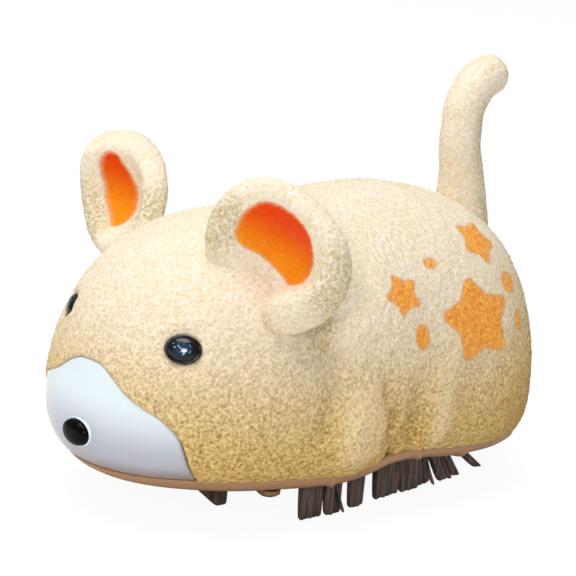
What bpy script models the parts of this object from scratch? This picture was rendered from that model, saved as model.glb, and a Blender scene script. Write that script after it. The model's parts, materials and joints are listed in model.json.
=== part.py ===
"""Vibrating animal toy for pets: a flocked shell on a moulded chassis that shuffles on rubber feet.

Metres, +Z up. The toy faces -Y, +X is its left side, and z = 0 is the floor under its feet.
The outer skin is one formula, and every shell, rim, ear, eye and tail is placed on that skin.
"""
import math

import bmesh
import bpy
import numpy as np

MM = 0.001
GAP = 0.3 * MM
OVERRUN = 1.0 * MM

# Body skin
BODY_LENGTH = 87.4 * MM
BODY_WIDTH = 52.0 * MM
BODY_HEIGHT = 48.1 * MM
BODY_SETBACK = 1.3 * MM
CORE_HEIGHT = 15.0 * MM
STATION_SHARES = (0, .08, .16, .25, .34, .43, .52, .61, .70, .79, .88, 1)
WIDTH_SHARES = (0, .30, .585, .79, .925, .99, 1, .98, .935, .795, .545, 0)
CROWN_SHARES = (.29, .50, .70, .867, .94, .96, .987, 1, .967, .88, .715, .39)
KEEL_SHARES = (.29, .195, .143, .098, .056, .03, .03, .033, .031, .035, .127, .39)
WAIST_SHARE = .34
PLAN_POWER = 2.25
UPPER_POWER = 2.1
LOWER_POWER = 2.3

# Swellings of the skin: bearing and lift of the middle, half spans in degrees, and height
LEG_SWELL = (69, -2, 9, 15, .025 * BODY_WIDTH)
HAUNCH_SWELL = (124, 2, 17, 15, .0173 * BODY_WIDTH)
CHEEK_SWELL = (44, 8, 17, 20, .0135 * BODY_WIDTH)
SHOULDER_SWELL = (90, 45, 15, 24, .0115 * BODY_WIDTH)
NECK_GROOVE = (63, 24, 5, 20, -.0173 * BODY_WIDTH)

# Shell, its lower edge and the rim below it, as shares of the body height round the body
WALL = 1.8 * MM
NAP_ANGLES = (0, 20, 45, 60, 76, 84, 92, 100, 110, 122, 136, 150, 180)
NAP_SHARES = (.170, .177, .183, .181, .173, .195, .225, .233, .225, .204, .183, .173, .166)
HEM_SHARES = (.125, .116, .125, .125, .116, .129, .179, .187, .181, .158, .139, .133, .133)
SHELL_ROWS = 9
ROW_POWER = 1.35
SIDE_SAMPLES = 24

# Muzzle mask: bearings and lifts of half its edge, from the peak to the lower corner
MASK_BEARINGS = (0, 6.6, 12.7, 19.7, 23.3, 25.6, 26.4)
MASK_LIFTS = (13.4, 11.8, 9.6, 7.2, 4.1, 0, -5)
MASK_CORNER_BEARING = 26.6
MASK_SAMPLES = 9
MASK_SINK = 0.45 * MM
MASK_WALL = 1.4 * MM
MASK_LIP = 1.8 * MM
MASK_LIP_BELOW = 0.5 * MM
LIP_WALL = 1.0 * MM
LIP_CLEARANCE = 0.6 * MM
MASK_ROWS = 4

# Nose and eyes, pushed through the mask and the shell, each held by a push washer
NOSE_LIFT = -1.5
NOSE_HALF_WIDTH = 3.2 * MM
NOSE_HALF_HEIGHT = 2.35 * MM
NOSE_DOME = 2.0 * MM
NOSE_FLANGE = 0.7 * MM
EYE_BEARING = 21.7
EYE_LIFT = 21.0
EYE_HALF_WIDTH = 3.0 * MM
EYE_HALF_HEIGHT = 2.3 * MM
EYE_DOME = 1.5 * MM
EYE_SOCKET_DEPTH = 0.7 * MM
STUD_RADIUS = 1.3 * MM
STUD_LENGTH = 4.6 * MM
WASHER_RADIUS = 2.7 * MM
WASHER_THICKNESS = 0.7 * MM
WASHER_CLEARANCE = 0.6 * MM

# Ears: middle of the disc, its normal and the way it leans out of the head
EAR_CENTRE = (.3654 * BODY_WIDTH, -.2414 * BODY_LENGTH, .9252 * BODY_HEIGHT)
EAR_FACING = (.28, -.90, .33)
EAR_LEAN = (.65, .40, .65)
EAR_HALF_WIDTH = 11.4 * MM
EAR_HALF_HEIGHT = 11.2 * MM
EAR_THICKNESS = 5.0 * MM
EAR_RADIUS_SHARES = (.30, .55, .72, .85, .94, 1, .97, .86, .62, .32)
EAR_DEPTH_SHARES = (-.28, -.12, .18, .42, .42, .12, -.22, -.46, -.52, -.56)
EAR_DISH_SHARE = -.32
EAR_BACK_SHARE = -.58
TAB_SHARE = -.30
TAB_WIDTH = 7.0 * MM
TAB_THICKNESS = 2.0 * MM
TAB_DEPTH = 3.6 * MM
TAB_RISE = 1.2 * MM

# Tail: its root behind the core, and along its middle line the distance back and up from the root as
# shares of its rise, and its radius as a share of the radius at its root
TAIL_ROOT = (.4073 * BODY_LENGTH, .8108 * BODY_HEIGHT)
TAIL_RISE = 26.3 * MM
TAIL_RADIUS = 5.0 * MM
TAIL_PATH_SHARES = ((0, 0, 1), (-.011, .19, .86), (-.038, .38, .74), (-.076, .57, .69), (-.076, .745, .68),
                    (-.023, .875, .69), (.061, .966, .70), (.152, 1, .68))
TAIL_ROWS = 14
TAIL_TIP_ROWS = 3
TAIL_STUD_RADIUS = 2.0 * MM
TAIL_STUD_DEPTH = 4.0 * MM
TAIL_STUD_RISE = 3.0 * MM
TAIL_LIFT = 37.5

# Chassis
RIM_SINK = 0.35 * MM
RIM_WALL = 1.4 * MM
SPIGOT_WALL = 1.3 * MM
SPIGOT_CLEARANCE = 0.6 * MM
SPIGOT_RISE = 5.0
SPIGOT_START = 28.0
SPIGOT_FULL = 31.5
BELLY_HEIGHT = 5.8 * MM
FLOOR_THICKNESS = 1.5 * MM
FLAT_SHARE = .62
TURN_SHARES = (.95, .86, .74)
RIB_WALL = 1.4 * MM
CHASSIS_SAMPLES = 56

# Battery, its bay and its door
CELL_LENGTH = 44.5 * MM
CELL_RADIUS = 5.25 * MM
CELL_FRONT = -.1602 * BODY_LENGTH
CELL_REAR = CELL_FRONT + CELL_LENGTH
CELL_NUB_RADIUS = 1.9 * MM
CELL_NUB_LENGTH = 1.0 * MM
CELL_LIFT = 0.45 * MM
CONTACT_THICKNESS = 0.5 * MM
CONTACT_WIDTH = 9.0 * MM
CONTACT_HEIGHT = 8.4 * MM
CONTACT_TAG_WIDTH = 2.0 * MM
CONTACT_TAG_HEIGHT = 1.6 * MM
CONTACT_FOOT_RISE = 1.8 * MM
SPRING_LENGTH = 2.8 * MM
SPRING_RADIUS = 3.0 * MM
SPRING_WIRE = 0.3 * MM
SPRING_TURNS = 3
DOOR_WIDTH = 11.4 * MM
DOOR_THICKNESS = 1.4 * MM
DOOR_TAIL = 2.2 * MM
DOOR_OVERHANG = 8.0 * MM
DOOR_SCREW_INSET = 2.6 * MM
DOOR_REAR = CELL_REAR + DOOR_TAIL
DOOR_FRONT = CELL_FRONT - DOOR_OVERHANG
DOOR_SCREW_Y = DOOR_FRONT + DOOR_SCREW_INSET
DOOR_TONGUE_WIDTH = 5.0 * MM
DOOR_TONGUE_REACH = 1.1 * MM
DOOR_TONGUE_THICKNESS = 0.8 * MM
BAY_WALL_HEIGHT = 15.0 * MM
DOOR_BOSS_TOP = 11.4 * MM
DOOR_PAD_TOP = 9.2 * MM

# Screws
SCREW_RADIUS = 1.0 * MM
SCREW_HEAD_RADIUS = 1.9 * MM
SCREW_HEAD_HEIGHT = 1.1 * MM
SCREW_CLEARANCE = 0.35 * MM
SLOT_WIDTH = 0.5 * MM
BOSS_RADIUS = 2.5 * MM
BOSS_TOP = 19.0 * MM
BOSS_SKIN_DEPTH = 1.0 * MM
BOSS_RIB_THICKNESS = 1.6 * MM
FRONT_BOSS = (.3115 * BODY_WIDTH, -.2002 * BODY_LENGTH)
REAR_BOSS = (.2173 * BODY_WIDTH, .3844 * BODY_LENGTH)
CHASSIS_SCREW_LENGTH = 6.0 * MM

# Motor
MOTOR_HEIGHT = 17.6 * MM
MOTOR_RADIUS = 5.0 * MM
MOTOR_LENGTH = 13.0 * MM
MOTOR_OFFSET = 9.6 * MM
MOTOR_REAR = CELL_FRONT - MOTOR_OFFSET
MOTOR_BEARING_RADIUS = 2.0 * MM
MOTOR_BEARING_LENGTH = 0.8 * MM
END_CAP_LENGTH = 1.4 * MM
TERMINAL_OFFSET = 3.0 * MM
TERMINAL_WIDTH = 1.4 * MM
TERMINAL_LENGTH = 1.3 * MM
TERMINAL_THICKNESS = 0.4 * MM
SHAFT_RADIUS = 0.75 * MM
SHAFT_LENGTH = 7.0 * MM
WEIGHT_RADIUS = 4.7 * MM
WEIGHT_LENGTH = 4.2 * MM
WEIGHT_HUB_RADIUS = 2.1 * MM
CRADLE_WIDTH = 19.8 * MM
CRADLE_LENGTH = 6.4 * MM
CRADLE_INSET = 1.2 * MM
CRADLE_REAR = MOTOR_REAR - CRADLE_INSET
CRADLE_FRONT = CRADLE_REAR - CRADLE_LENGTH
CRADLE_TOP = 13.6 * MM
STRAP_WIDTH = 5.0 * MM
STRAP_THICKNESS = 1.0 * MM
STRAP_SCREW_X = 8.2 * MM
STRAP_SCREW_LENGTH = 4.6 * MM

# Switch
SWITCH_PLACE = (-.2231 * BODY_WIDTH, -.0744 * BODY_LENGTH)
SWITCH_WIDTH = 4.2 * MM
SWITCH_LENGTH = 9.0 * MM
SWITCH_HEIGHT = 3.6 * MM
SWITCH_TRAVEL = 2.0 * MM
SWITCH_POCKET_HEIGHT = 1.6 * MM
CARRIAGE_WIDTH = 2.2 * MM
CARRIAGE_LENGTH = 3.0 * MM
CARRIAGE_HEIGHT = 0.9 * MM
KNOB_WIDTH = 1.5 * MM
KNOB_LENGTH = 1.8 * MM
KNOB_PROUD = 1.0 * MM
LUG_OFFSET = 3.0 * MM
LUG_LENGTH = 1.2 * MM
LUG_HEIGHT = 1.3 * MM

# Leads inside the shell
LEAD_RADIUS = 0.5 * MM
LEAD_SIDE = 11.0 * MM
LEAD_POINTS = 22

# Rubber feet: a rail in the chassis and blades below it
FOOT_THICKNESS = 1.4 * MM
RAIL_THICKNESS = 2.8 * MM
RAIL_TOP = 8.3 * MM
RAIL_HEIGHT = 2.0 * MM
FRONT_FOOT_X = .3423 * BODY_WIDTH
FRONT_FOOT_SPAN = (-.1465 * BODY_LENGTH, .0275 * BODY_LENGTH)
REAR_FOOT_STARTS = (.3385 * BODY_WIDTH, .0526 * BODY_LENGTH)
REAR_FOOT_ENDS = (.2827 * BODY_WIDTH, .3272 * BODY_LENGTH)
FOOT_SEAT_WIDTH = 6.4 * MM
FOOT_SEAT_TOP = 9.6 * MM
SKID_X = .1462 * BODY_WIDTH
SKID_PAD_WIDTH = 2.6 * MM
SKID_PAD_THICKNESS = 0.9 * MM
SKID_FRONT = -.3043 * BODY_LENGTH
SKID_REAR = -.2082 * BODY_LENGTH
SKID_LOW = 0.5 * MM
SKID_PLUG_RADIUS = 0.9 * MM
SKID_PLUG_TOP = 8.6 * MM
# Blades: front and rear at the rail, front and rear at the tip, and the tip's height, as shares
# of the rail's length from its front end and of the rail's lower face height
FRONT_BLADE_SHARES = ((.04, .36, .05, .34, 0), (.36, .46, .44, .54, 0), (.44, .67, .52, .66, 0),
                      (.78, .97, .80, .96, 0))
REAR_BLADE_SHARES = ((.02, .19, .05, .19, 0), (.18, .37, .20, .38, .08), (.37, .53, .44, .53, 0),
                     (.54, .62, .64, .71, .12), (.63, .71, .74, .81, .04), (.84, .93, 1.01, 1.09, .25))

# The chassis has so many crossing walls that the exact solver leaves it open at some sizes
SOLVERS = {"chassis": "MANIFOLD"}

# Colour, roughness and metallic value of each material
LOOKS = {
    "pile": ((.84, .72, .50), .95, 0), "mask": ((.86, .90, .94), .18, 0),
    "black": ((.01, .01, .012), .1, 0), "eye": ((.01, .015, .02), .08, 0),
    "tan": ((.45, .29, .19), .45, 0), "rubber": ((.10, .08, .07), .7, 0),
    "steel": ((.62, .62, .60), .32, 1), "brass": ((.72, .55, .28), .35, 1),
    "cell": ((.55, .34, .20), .35, .6), "white": ((.85, .85, .82), .5, 0),
    "red": ((.6, .05, .04), .5, 0), "dark": ((.04, .04, .045), .5, 0),
}


def clear_scene():
    for item in list(bpy.data.objects):
        bpy.data.objects.remove(item, do_unlink=True)


def finish_piece(piece, look):
    """Give the piece its material, outward faces and smooth shading."""
    colour, roughness, metallic = LOOKS[look]
    material = bpy.data.materials.get(look) or bpy.data.materials.new(look)
    material.use_nodes = True
    shader = material.node_tree.nodes["Principled BSDF"]
    shader.inputs["Base Color"].default_value = (*colour, 1)
    shader.inputs["Roughness"].default_value = roughness
    shader.inputs["Metallic"].default_value = metallic
    piece.data.materials.clear()
    piece.data.materials.append(material)
    if piece.type == "MESH":
        piece.data.shade_smooth()
        piece.data.set_sharp_from_angle(angle=math.radians(38))
    return piece


def solid(name, points, faces):
    """One closed mesh object from points and faces, with doubles merged and faces outward."""
    mesh = bpy.data.meshes.new(name)
    mesh.from_pydata([tuple(map(float, point)) for point in points], [], faces)
    work = bmesh.new()
    work.from_mesh(mesh)
    bmesh.ops.remove_doubles(work, verts=work.verts, dist=GAP / 100)
    bmesh.ops.recalc_face_normals(work, faces=work.faces)
    work.to_mesh(mesh)
    work.free()
    piece = bpy.data.objects.new(name, mesh)
    bpy.context.collection.objects.link(piece)
    return piece


def lofted(name, rings, first=None, last=None):
    """Faces between successive rings; two end points close it, or the last ring meets the first."""
    count = len(rings[0])
    points = np.concatenate(rings)
    pairs = [(k, k + 1) for k in range(len(rings) - 1)]
    if first is None:
        pairs.append((len(rings) - 1, 0))
    faces = [(a * count + k, a * count + (k + 1) % count, b * count + (k + 1) % count, b * count + k)
             for a, b in pairs for k in range(count)]
    if first is not None:
        points = np.concatenate([points, [first, last]])
        end = len(points)
        tail = (len(rings) - 1) * count
        faces += [(end - 2, (k + 1) % count, k) for k in range(count)]
        faces += [(end - 1, tail + k, tail + (k + 1) % count) for k in range(count)]
    return solid(name, points, faces)


def combine(target, tool, operation):
    """Apply a Boolean, remove its tool and merge the slivers that an exact one leaves."""
    solver = SOLVERS.get(target.name, "EXACT")
    change = target.modifiers.new("change", "BOOLEAN")
    change.operation = operation
    change.object = tool
    change.solver = solver
    view = bpy.context.evaluated_depsgraph_get()
    mesh = bpy.data.meshes.new_from_object(target.evaluated_get(view))
    target.modifiers.clear()
    target.data = mesh
    bpy.data.objects.remove(tool, do_unlink=True)
    if solver == "EXACT":
        work = bmesh.new()
        work.from_mesh(mesh)
        bmesh.ops.remove_doubles(work, verts=work.verts, dist=GAP / 1000)
        bmesh.ops.dissolve_degenerate(work, edges=work.edges, dist=GAP / 1000)
        work.to_mesh(mesh)
        work.free()
    return target


def cut(target, *tools):
    for tool in tools:
        combine(target, tool, "DIFFERENCE")
    return target


def join(target, *tools):
    for tool in tools:
        combine(target, tool, "UNION")
    return target


def slopes_of(places, values):
    """Slopes of a monotone cubic through the values: none at a peak, harmonic means elsewhere."""
    steps = np.diff(places)
    rises = np.diff(values) / steps
    slopes = np.zeros(len(places))
    for k in range(1, len(places) - 1):
        if rises[k - 1] * rises[k] > 0:
            before, after = 2 * steps[k] + steps[k - 1], steps[k] + 2 * steps[k - 1]
            slopes[k] = (before + after) / (before / rises[k - 1] + after / rises[k])
    slopes[0], slopes[-1] = rises[0], rises[-1]
    return slopes


def table(at, places, values):
    """Smooth reading of a table, as a cubic on each interval."""
    places, values = np.asarray(places, float), np.asarray(values, float)
    slopes = slopes_of(places, values)
    at = np.clip(at, places[0], places[-1])
    k = np.clip(np.searchsorted(places, at) - 1, 0, len(places) - 2)
    step = places[k + 1] - places[k]
    t = (at - places[k]) / step
    return (values[k] * (1 + 2 * t) * (1 - t) ** 2 + values[k + 1] * t * t * (3 - 2 * t)
            + step * (slopes[k] * t * (1 - t) ** 2 - slopes[k + 1] * t * t * (1 - t)))


def smooth_step(value, low, high):
    t = np.clip((value - low) / (high - low), 0, 1)
    return t * t * (3 - 2 * t)


def headings(bearing, lift):
    """Unit directions from the core: bearing turns from the nose, lift rises from level."""
    turn, rise = np.radians(bearing), np.radians(lift)
    return np.stack([np.cos(rise) * np.sin(turn), -np.cos(rise) * np.cos(turn), np.sin(rise)], -1)


def outside(points):
    """Negative inside the plain body: a superellipse section whose size follows the length."""
    half_length = BODY_LENGTH / 2
    station = np.arccos(np.clip(-points[..., 1] / half_length, -1, 1)) / math.pi
    tiny = BODY_WIDTH / 1000
    width = np.maximum(table(station, STATION_SHARES, WIDTH_SHARES) * BODY_WIDTH / 2, tiny)
    crown = table(station, STATION_SHARES, CROWN_SHARES) * BODY_HEIGHT
    keel = table(station, STATION_SHARES, KEEL_SHARES) * BODY_HEIGHT
    waist = keel + WAIST_SHARE * (crown - keel)
    up = points[..., 2] > waist
    height = np.maximum(np.where(up, crown - waist, waist - keel), tiny)
    power = np.where(up, UPPER_POWER, LOWER_POWER)
    across = (np.abs(points[..., 0]) / width) ** PLAN_POWER
    upward = (np.abs(points[..., 2] - waist) / height) ** power
    beyond = np.maximum(np.abs(points[..., 1]) - half_length, 0) / tiny
    return np.minimum(across + upward, BODY_LENGTH / tiny) - 1 + beyond


def swell(bearing, lift):
    """Sum of the bell-shaped swellings, the same on both sides."""
    side = np.abs((np.asarray(bearing) + 180) % 360 - 180)
    total = 0
    for middle, height, half_turn, half_rise, size in (
            LEG_SWELL, HAUNCH_SWELL, CHEEK_SWELL, SHOULDER_SWELL, NECK_GROOVE):
        beyond = ((side - middle) / half_turn) ** 2 + ((lift - height) / half_rise) ** 2
        total = total + size * np.exp(-beyond)
    return total


def reach(bearing, lift):
    """Distance from the core to the skin along a heading, by halving an interval."""
    heading = headings(bearing, lift)
    low = np.zeros(heading.shape[:-1])
    high = np.full(heading.shape[:-1], BODY_LENGTH)
    for _ in range(34):
        middle = (low + high) / 2
        core = np.array([0, 0, CORE_HEIGHT])
        within = outside(core + heading * middle[..., None]) < 0
        low, high = np.where(within, middle, low), np.where(within, high, middle)
    return (low + high) / 2 + swell(bearing, lift)


def skin(bearing, lift, depth=0.0):
    """Points on the skin, or at a depth below it measured square to the surface."""
    bearing, lift, depth = np.broadcast_arrays(*(np.asarray(v, float) for v in (bearing, lift, depth)))
    level = np.clip(lift, -86, 86)
    heading = headings(bearing, lift)
    core = np.array([0, 0, CORE_HEIGHT])
    distance = reach(bearing, lift)
    normal = skin_normal(bearing, level)
    facing = np.clip(np.sum(normal * headings(bearing, level), -1), .45, 1)
    return core + heading * (distance - depth / facing)[..., None]


def skin_normal(bearing, lift):
    """Outward unit normal, from differences along the bearing and the lift."""
    step = .5
    core = np.array([0, 0, CORE_HEIGHT])

    def place(b, e):
        return core + headings(b, e) * reach(b, e)[..., None]
    along = place(bearing + step, lift) - place(bearing - step, lift)
    upward = place(bearing, lift + step) - place(bearing, lift - step)
    normal = np.cross(along, upward)
    return normal / np.linalg.norm(normal, axis=-1, keepdims=True)


def lift_at(bearing, height):
    """Lift of the lower skin at a height, by halving."""
    low, high = np.full(np.shape(bearing), -62.0), np.full(np.shape(bearing), 12.0)
    for _ in range(22):
        middle = (low + high) / 2
        below = CORE_HEIGHT + reach(bearing, middle) * np.sin(np.radians(middle)) < height
        low, high = np.where(below, middle, low), np.where(below, high, middle)
    return (low + high) / 2


def side_of(bearing):
    return np.abs((np.asarray(bearing, float) + 180) % 360 - 180)


def nap_height(bearing):
    return table(side_of(bearing), NAP_ANGLES, NAP_SHARES) * BODY_HEIGHT


def hem_height(bearing):
    return table(side_of(bearing), NAP_ANGLES, HEM_SHARES) * BODY_HEIGHT


def mask_edge_half():
    """Bearings and lifts of the mask's edge, from the peak to the lower corner."""
    corner = float(lift_at(np.array([MASK_CORNER_BEARING]), nap_height([MASK_CORNER_BEARING]))[0])
    bearings = np.array([*MASK_BEARINGS, MASK_CORNER_BEARING], float)
    lifts = np.array([*MASK_LIFTS, corner], float)
    run = np.concatenate([[0], np.cumsum(np.hypot(np.diff(bearings), np.diff(lifts)))])
    at = np.linspace(0, run[-1], MASK_SAMPLES)
    return table(at, run, bearings), table(at, run, lifts)


def shell_edge():
    """The shell's lower edge, all round: over the mask, then along the nap line."""
    mask_bearings, mask_lifts = mask_edge_half()
    side_bearings = MASK_CORNER_BEARING + (180 - MASK_CORNER_BEARING) * np.linspace(0, 1, SIDE_SAMPLES)[1:]
    side_lifts = lift_at(side_bearings, nap_height(side_bearings))
    bearings = np.concatenate([mask_bearings, side_bearings])
    lifts = np.concatenate([mask_lifts, side_lifts])
    around = np.concatenate([bearings, 360 - bearings[-2:0:-1]])
    return around, np.concatenate([lifts, lifts[-2:0:-1]])


def frame_at(bearing, lift, depth=0.0):
    """A seat on the skin: origin, level side, upward tangent and outward normal."""
    b, e = np.array([float(bearing)]), np.array([float(lift)])
    origin = skin(b, e, depth)[0]
    axis = skin_normal(b, e)[0]
    side = np.cross([0, 0, 1], axis)
    side /= np.linalg.norm(side)
    return origin, side, np.cross(axis, side), axis


def turned(name, frame, profile, count=20, hollow=False):
    """Rings square to the frame's axis; a profile row is distance along it, half width, half height."""
    origin, side, up, axis = (np.asarray(v, float) for v in frame)
    angle = np.arange(count)[:, None] * 2 * math.pi / count
    rings = [origin + axis * along + side * wide * np.cos(angle) + up * high * np.sin(angle)
             for along, wide, high in profile]
    if hollow:
        return lofted(name, rings)
    return lofted(name, rings, origin + axis * profile[0][0], origin + axis * profile[-1][0])


def upright(x, y, z=0.0):
    return (x, y, z), (1, 0, 0), (0, 1, 0), (0, 0, 1)


def lengthwise(x, y, z):
    """A frame whose axis runs back along +Y."""
    return (x, y, z), (1, 0, 0), (0, 0, -1), (0, 1, 0)


def rod(name, frame, start, end, radius, count=16):
    return turned(name, frame, [(start, radius, radius), (end, radius, radius)], count)


def box(name, low, high):
    corners = [(x, y, z) for x in (low[0], high[0]) for y in (low[1], high[1]) for z in (low[2], high[2])]
    faces = [(0, 1, 3, 2), (4, 6, 7, 5), (0, 4, 5, 1), (2, 3, 7, 6), (0, 2, 6, 4), (1, 5, 7, 3)]
    return solid(name, corners, faces)


def framed_box(name, frame, low, high):
    """A box along a frame's side, up and axis directions."""
    origin, side, up, axis = (np.asarray(v, float) for v in frame)
    piece = box(name, low, high)
    for vertex in piece.data.vertices:
        a, b, c = vertex.co
        vertex.co = origin + side * a + up * b + axis * c
    work = bmesh.new()
    work.from_mesh(piece.data)
    bmesh.ops.recalc_face_normals(work, faces=work.faces)
    work.to_mesh(piece.data)
    work.free()
    return piece


def plate(name, frame, outline, low, high):
    """An outline in the frame's side and up directions, extruded along its axis."""
    origin, side, up, axis = (np.asarray(v, float) for v in frame)
    count = len(outline)
    points = [origin + side * a + up * b + axis * c for c in (low, high) for a, b in outline]
    faces = [tuple(range(count)), tuple(range(count, 2 * count))]
    faces += [(k, (k + 1) % count, count + (k + 1) % count, count + k) for k in range(count)]
    return solid(name, points, faces)


def skin_solid(name, depth, columns=64, rows=30):
    """The whole body as one closed form, shrunk or grown by a depth."""
    lifts = np.linspace(-84, 84, rows)
    bearings = np.arange(columns) * 360 / columns
    rings = [skin(bearings, np.full(columns, lift), depth) for lift in lifts]
    ends = [skin(np.array([0.0]), np.array([pole]), depth)[0] for pole in (-89.0, 89.0)]
    return lofted(name, rings, *ends)


def make_shell():
    """Flocked shell: skin and inner wall from the edge to the crown, with sockets and screw bosses."""
    around, edge = shell_edge()
    count = len(around)
    even = np.arange(count) * 360 / count
    rings = []
    for depth, rows in ((0.0, range(SHELL_ROWS)), (WALL, range(SHELL_ROWS - 1, -1, -1))):
        for row in rows:
            share = (row / SHELL_ROWS) ** ROW_POWER
            bearings = around + (even - around) * share
            rings.append(skin(bearings, edge + (90 - edge) * share, depth))
    outer, inner = rings[:SHELL_ROWS], rings[SHELL_ROWS:]
    pole = np.array([0.0]), np.array([89.9])
    shell = lofted("body_shell", outer[::-1] + inner[::-1], skin(*pole)[0], skin(*pole, WALL)[0])
    bosses = [make_boss(x * turn, y) for x, y in (FRONT_BOSS, REAR_BOSS) for turn in (1, -1)]
    join(shell, *bosses)
    for x, y in (FRONT_BOSS, REAR_BOSS):
        for turn in (1, -1):
            cut(shell, rod("bore", upright(x * turn, y), BELLY_HEIGHT, BELLY_HEIGHT + SCREW_HEAD_HEIGHT
                           + CHASSIS_SCREW_LENGTH + OVERRUN, SCREW_RADIUS + SCREW_CLEARANCE, 12))
    for turn in (1, -1):
        seat = frame_at(turn * EYE_BEARING, EYE_LIFT)
        cut(shell, rod("stud_hole", seat, -WALL - OVERRUN, OVERRUN, STUD_RADIUS + GAP, 12))
        cut(shell, turned("socket", seat, [(-EYE_SOCKET_DEPTH, EYE_HALF_WIDTH + GAP, EYE_HALF_HEIGHT + GAP),
                                           (OVERRUN, EYE_HALF_WIDTH + GAP, EYE_HALF_HEIGHT + GAP)]))
        cut(shell, make_tab("slot", turn, GAP))
    cut(shell, rod("tail_hole", frame_at(180, TAIL_LIFT), -WALL - OVERRUN, OVERRUN * 2,
                   TAIL_STUD_RADIUS + GAP))
    return finish_piece(shell, "pile")


def make_boss(x, y):
    """A screw boss and its rib to the wall, trimmed to stay under the skin."""
    bottom = boss_foot(x, y)
    boss = rod("boss", upright(x, y), bottom, BOSS_TOP, BOSS_RADIUS)
    outward = math.copysign(BODY_WIDTH / 2, x)
    half = BOSS_RIB_THICKNESS / 2
    rib = box("rib", (min(x, outward), y - half, spigot_top(x, y) + GAP),
              (max(x, outward), y + half, BOSS_TOP))
    join(boss, rib)
    return combine(boss, skin_solid("limit", BOSS_SKIN_DEPTH), "INTERSECT")


def boss_foot(x, y):
    """Height where a shell boss ends above the chassis floor."""
    return BELLY_HEIGHT + FLOOR_THICKNESS + chassis_rise(x, y) + GAP


def spigot_top(x, y):
    """Highest point of the chassis spigot where a rib crosses it on the way to the wall."""
    ends = [math.degrees(math.atan2(side, -y)) for side in (abs(x), BODY_WIDTH / 2)]
    bearings = np.linspace(min(ends), max(ends), 9)
    lifts = lift_at(bearings, nap_height(bearings)) + SPIGOT_RISE
    return float(np.max(skin(bearings, lifts, WALL + SPIGOT_CLEARANCE + SPIGOT_WALL)[:, 2]))


def chassis_rise(x, y):
    """How far the chassis floor climbs at a place, from the same shares as its rings."""
    bearing = math.degrees(math.atan2(x, -y))
    edge = skin(np.array([bearing]), lift_at(np.array([bearing]), hem_height([bearing])), RIM_SINK)[0]
    share = math.hypot(x, y) / math.hypot(edge[0], edge[1])
    climb = float(smooth_step(share, FLAT_SHARE, 1))
    return climb * (float(hem_height([bearing])[0]) - BELLY_HEIGHT)


def ear_axes(turn):
    facing, lean = np.array(EAR_FACING), np.array(EAR_LEAN)
    lean = lean / np.linalg.norm(lean)
    facing = facing - lean * (facing @ lean)
    facing = facing / np.linalg.norm(facing)
    mirror = np.array([turn, 1, 1])
    return np.array(EAR_CENTRE) * mirror, np.cross(lean, facing) * mirror, lean * mirror, facing * mirror


def ear_root(turn):
    """Bearing and lift where the ear's disc runs down into the head, by halving along its lean."""
    centre, _, lean, facing = ear_axes(turn)
    start = centre + facing * TAB_SHARE * EAR_THICKNESS
    near, far = 0, BODY_WIDTH / 2
    for _ in range(30):
        middle = (near + far) / 2
        within = outside(start - lean * middle) < 0
        near, far = (near, middle) if within else (middle, far)
    x, y, z = start - lean * near
    return math.degrees(math.atan2(x, -y)), math.degrees(math.atan2(z - CORE_HEIGHT, math.hypot(x, y)))


def make_tab(name, turn, spare):
    """The ear's tab through the shell, or with spare room its slot."""
    origin, _, _, axis = frame_at(*ear_root(turn))
    across = ear_axes(turn)[1]
    across = across - axis * (across @ axis)
    across /= np.linalg.norm(across)
    frame = origin, across, np.cross(axis, across), axis
    half, thick = TAB_WIDTH / 2 + spare, TAB_THICKNESS / 2 + spare
    top = TAB_RISE if not spare else TAB_RISE / 3
    return framed_box(name, frame, (-half, -thick, -TAB_DEPTH - spare), (half, thick, top))


def make_ear(turn, word):
    """A thick cupped disc with a rolled rim, cut where it meets the head, on its tab."""
    centre, across, lean, facing = ear_axes(turn)
    shares = zip(EAR_DEPTH_SHARES, EAR_RADIUS_SHARES)
    profile = [(depth * EAR_THICKNESS, radius * EAR_HALF_WIDTH, radius * EAR_HALF_HEIGHT)
               for depth, radius in shares]
    profile = [(EAR_DISH_SHARE * EAR_THICKNESS, 0, 0)] + profile + [(EAR_BACK_SHARE * EAR_THICKNESS, 0, 0)]
    ear = turned("ear_" + word, (centre, across, lean, facing), profile, 28)
    cut(ear, skin_solid("head", -GAP))
    return finish_piece(join(ear, make_tab("tab", turn, 0)), "pile")


def make_tail():
    """A tapered tube along its middle line, round at the tip, on a stud through the shell."""
    path = np.array([(TAIL_ROOT[0] + back * TAIL_RISE, TAIL_ROOT[1] + up * TAIL_RISE, radius * TAIL_RADIUS)
                     for back, up, radius in TAIL_PATH_SHARES])
    run = np.concatenate([[0], np.cumsum(np.hypot(*np.diff(path[:, :2], axis=0).T))])
    at = np.linspace(0, run[-1], TAIL_ROWS)
    back, height, radius = (table(at, run, path[:, k]) for k in range(3))
    way = np.stack([np.gradient(back, at), np.gradient(height, at)], 1)
    way /= np.linalg.norm(way, axis=1, keepdims=True)
    angle = np.arange(18) * 2 * math.pi / 18
    rings = []
    for k in range(TAIL_ROWS):
        rings.append(tail_ring(back[k], height[k], way[k], radius[k], angle))
    for k in range(1, TAIL_TIP_ROWS + 1):
        swing = k * math.pi / 2 / (TAIL_TIP_ROWS + 1)
        forward = radius[-1] * math.sin(swing)
        rings.append(tail_ring(back[-1] + way[-1][0] * forward, height[-1] + way[-1][1] * forward,
                               way[-1], radius[-1] * math.cos(swing), angle))
    start = (0, back[0], height[0])
    end = (0, back[-1] + way[-1][0] * radius[-1], height[-1] + way[-1][1] * radius[-1])
    tail = lofted("tail", rings, start, end)
    cut(tail, skin_solid("rump", -GAP))
    stud = rod("stud", frame_at(180, TAIL_LIFT), -TAIL_STUD_DEPTH, TAIL_STUD_RISE, TAIL_STUD_RADIUS)
    return finish_piece(join(tail, stud), "pile")


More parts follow.
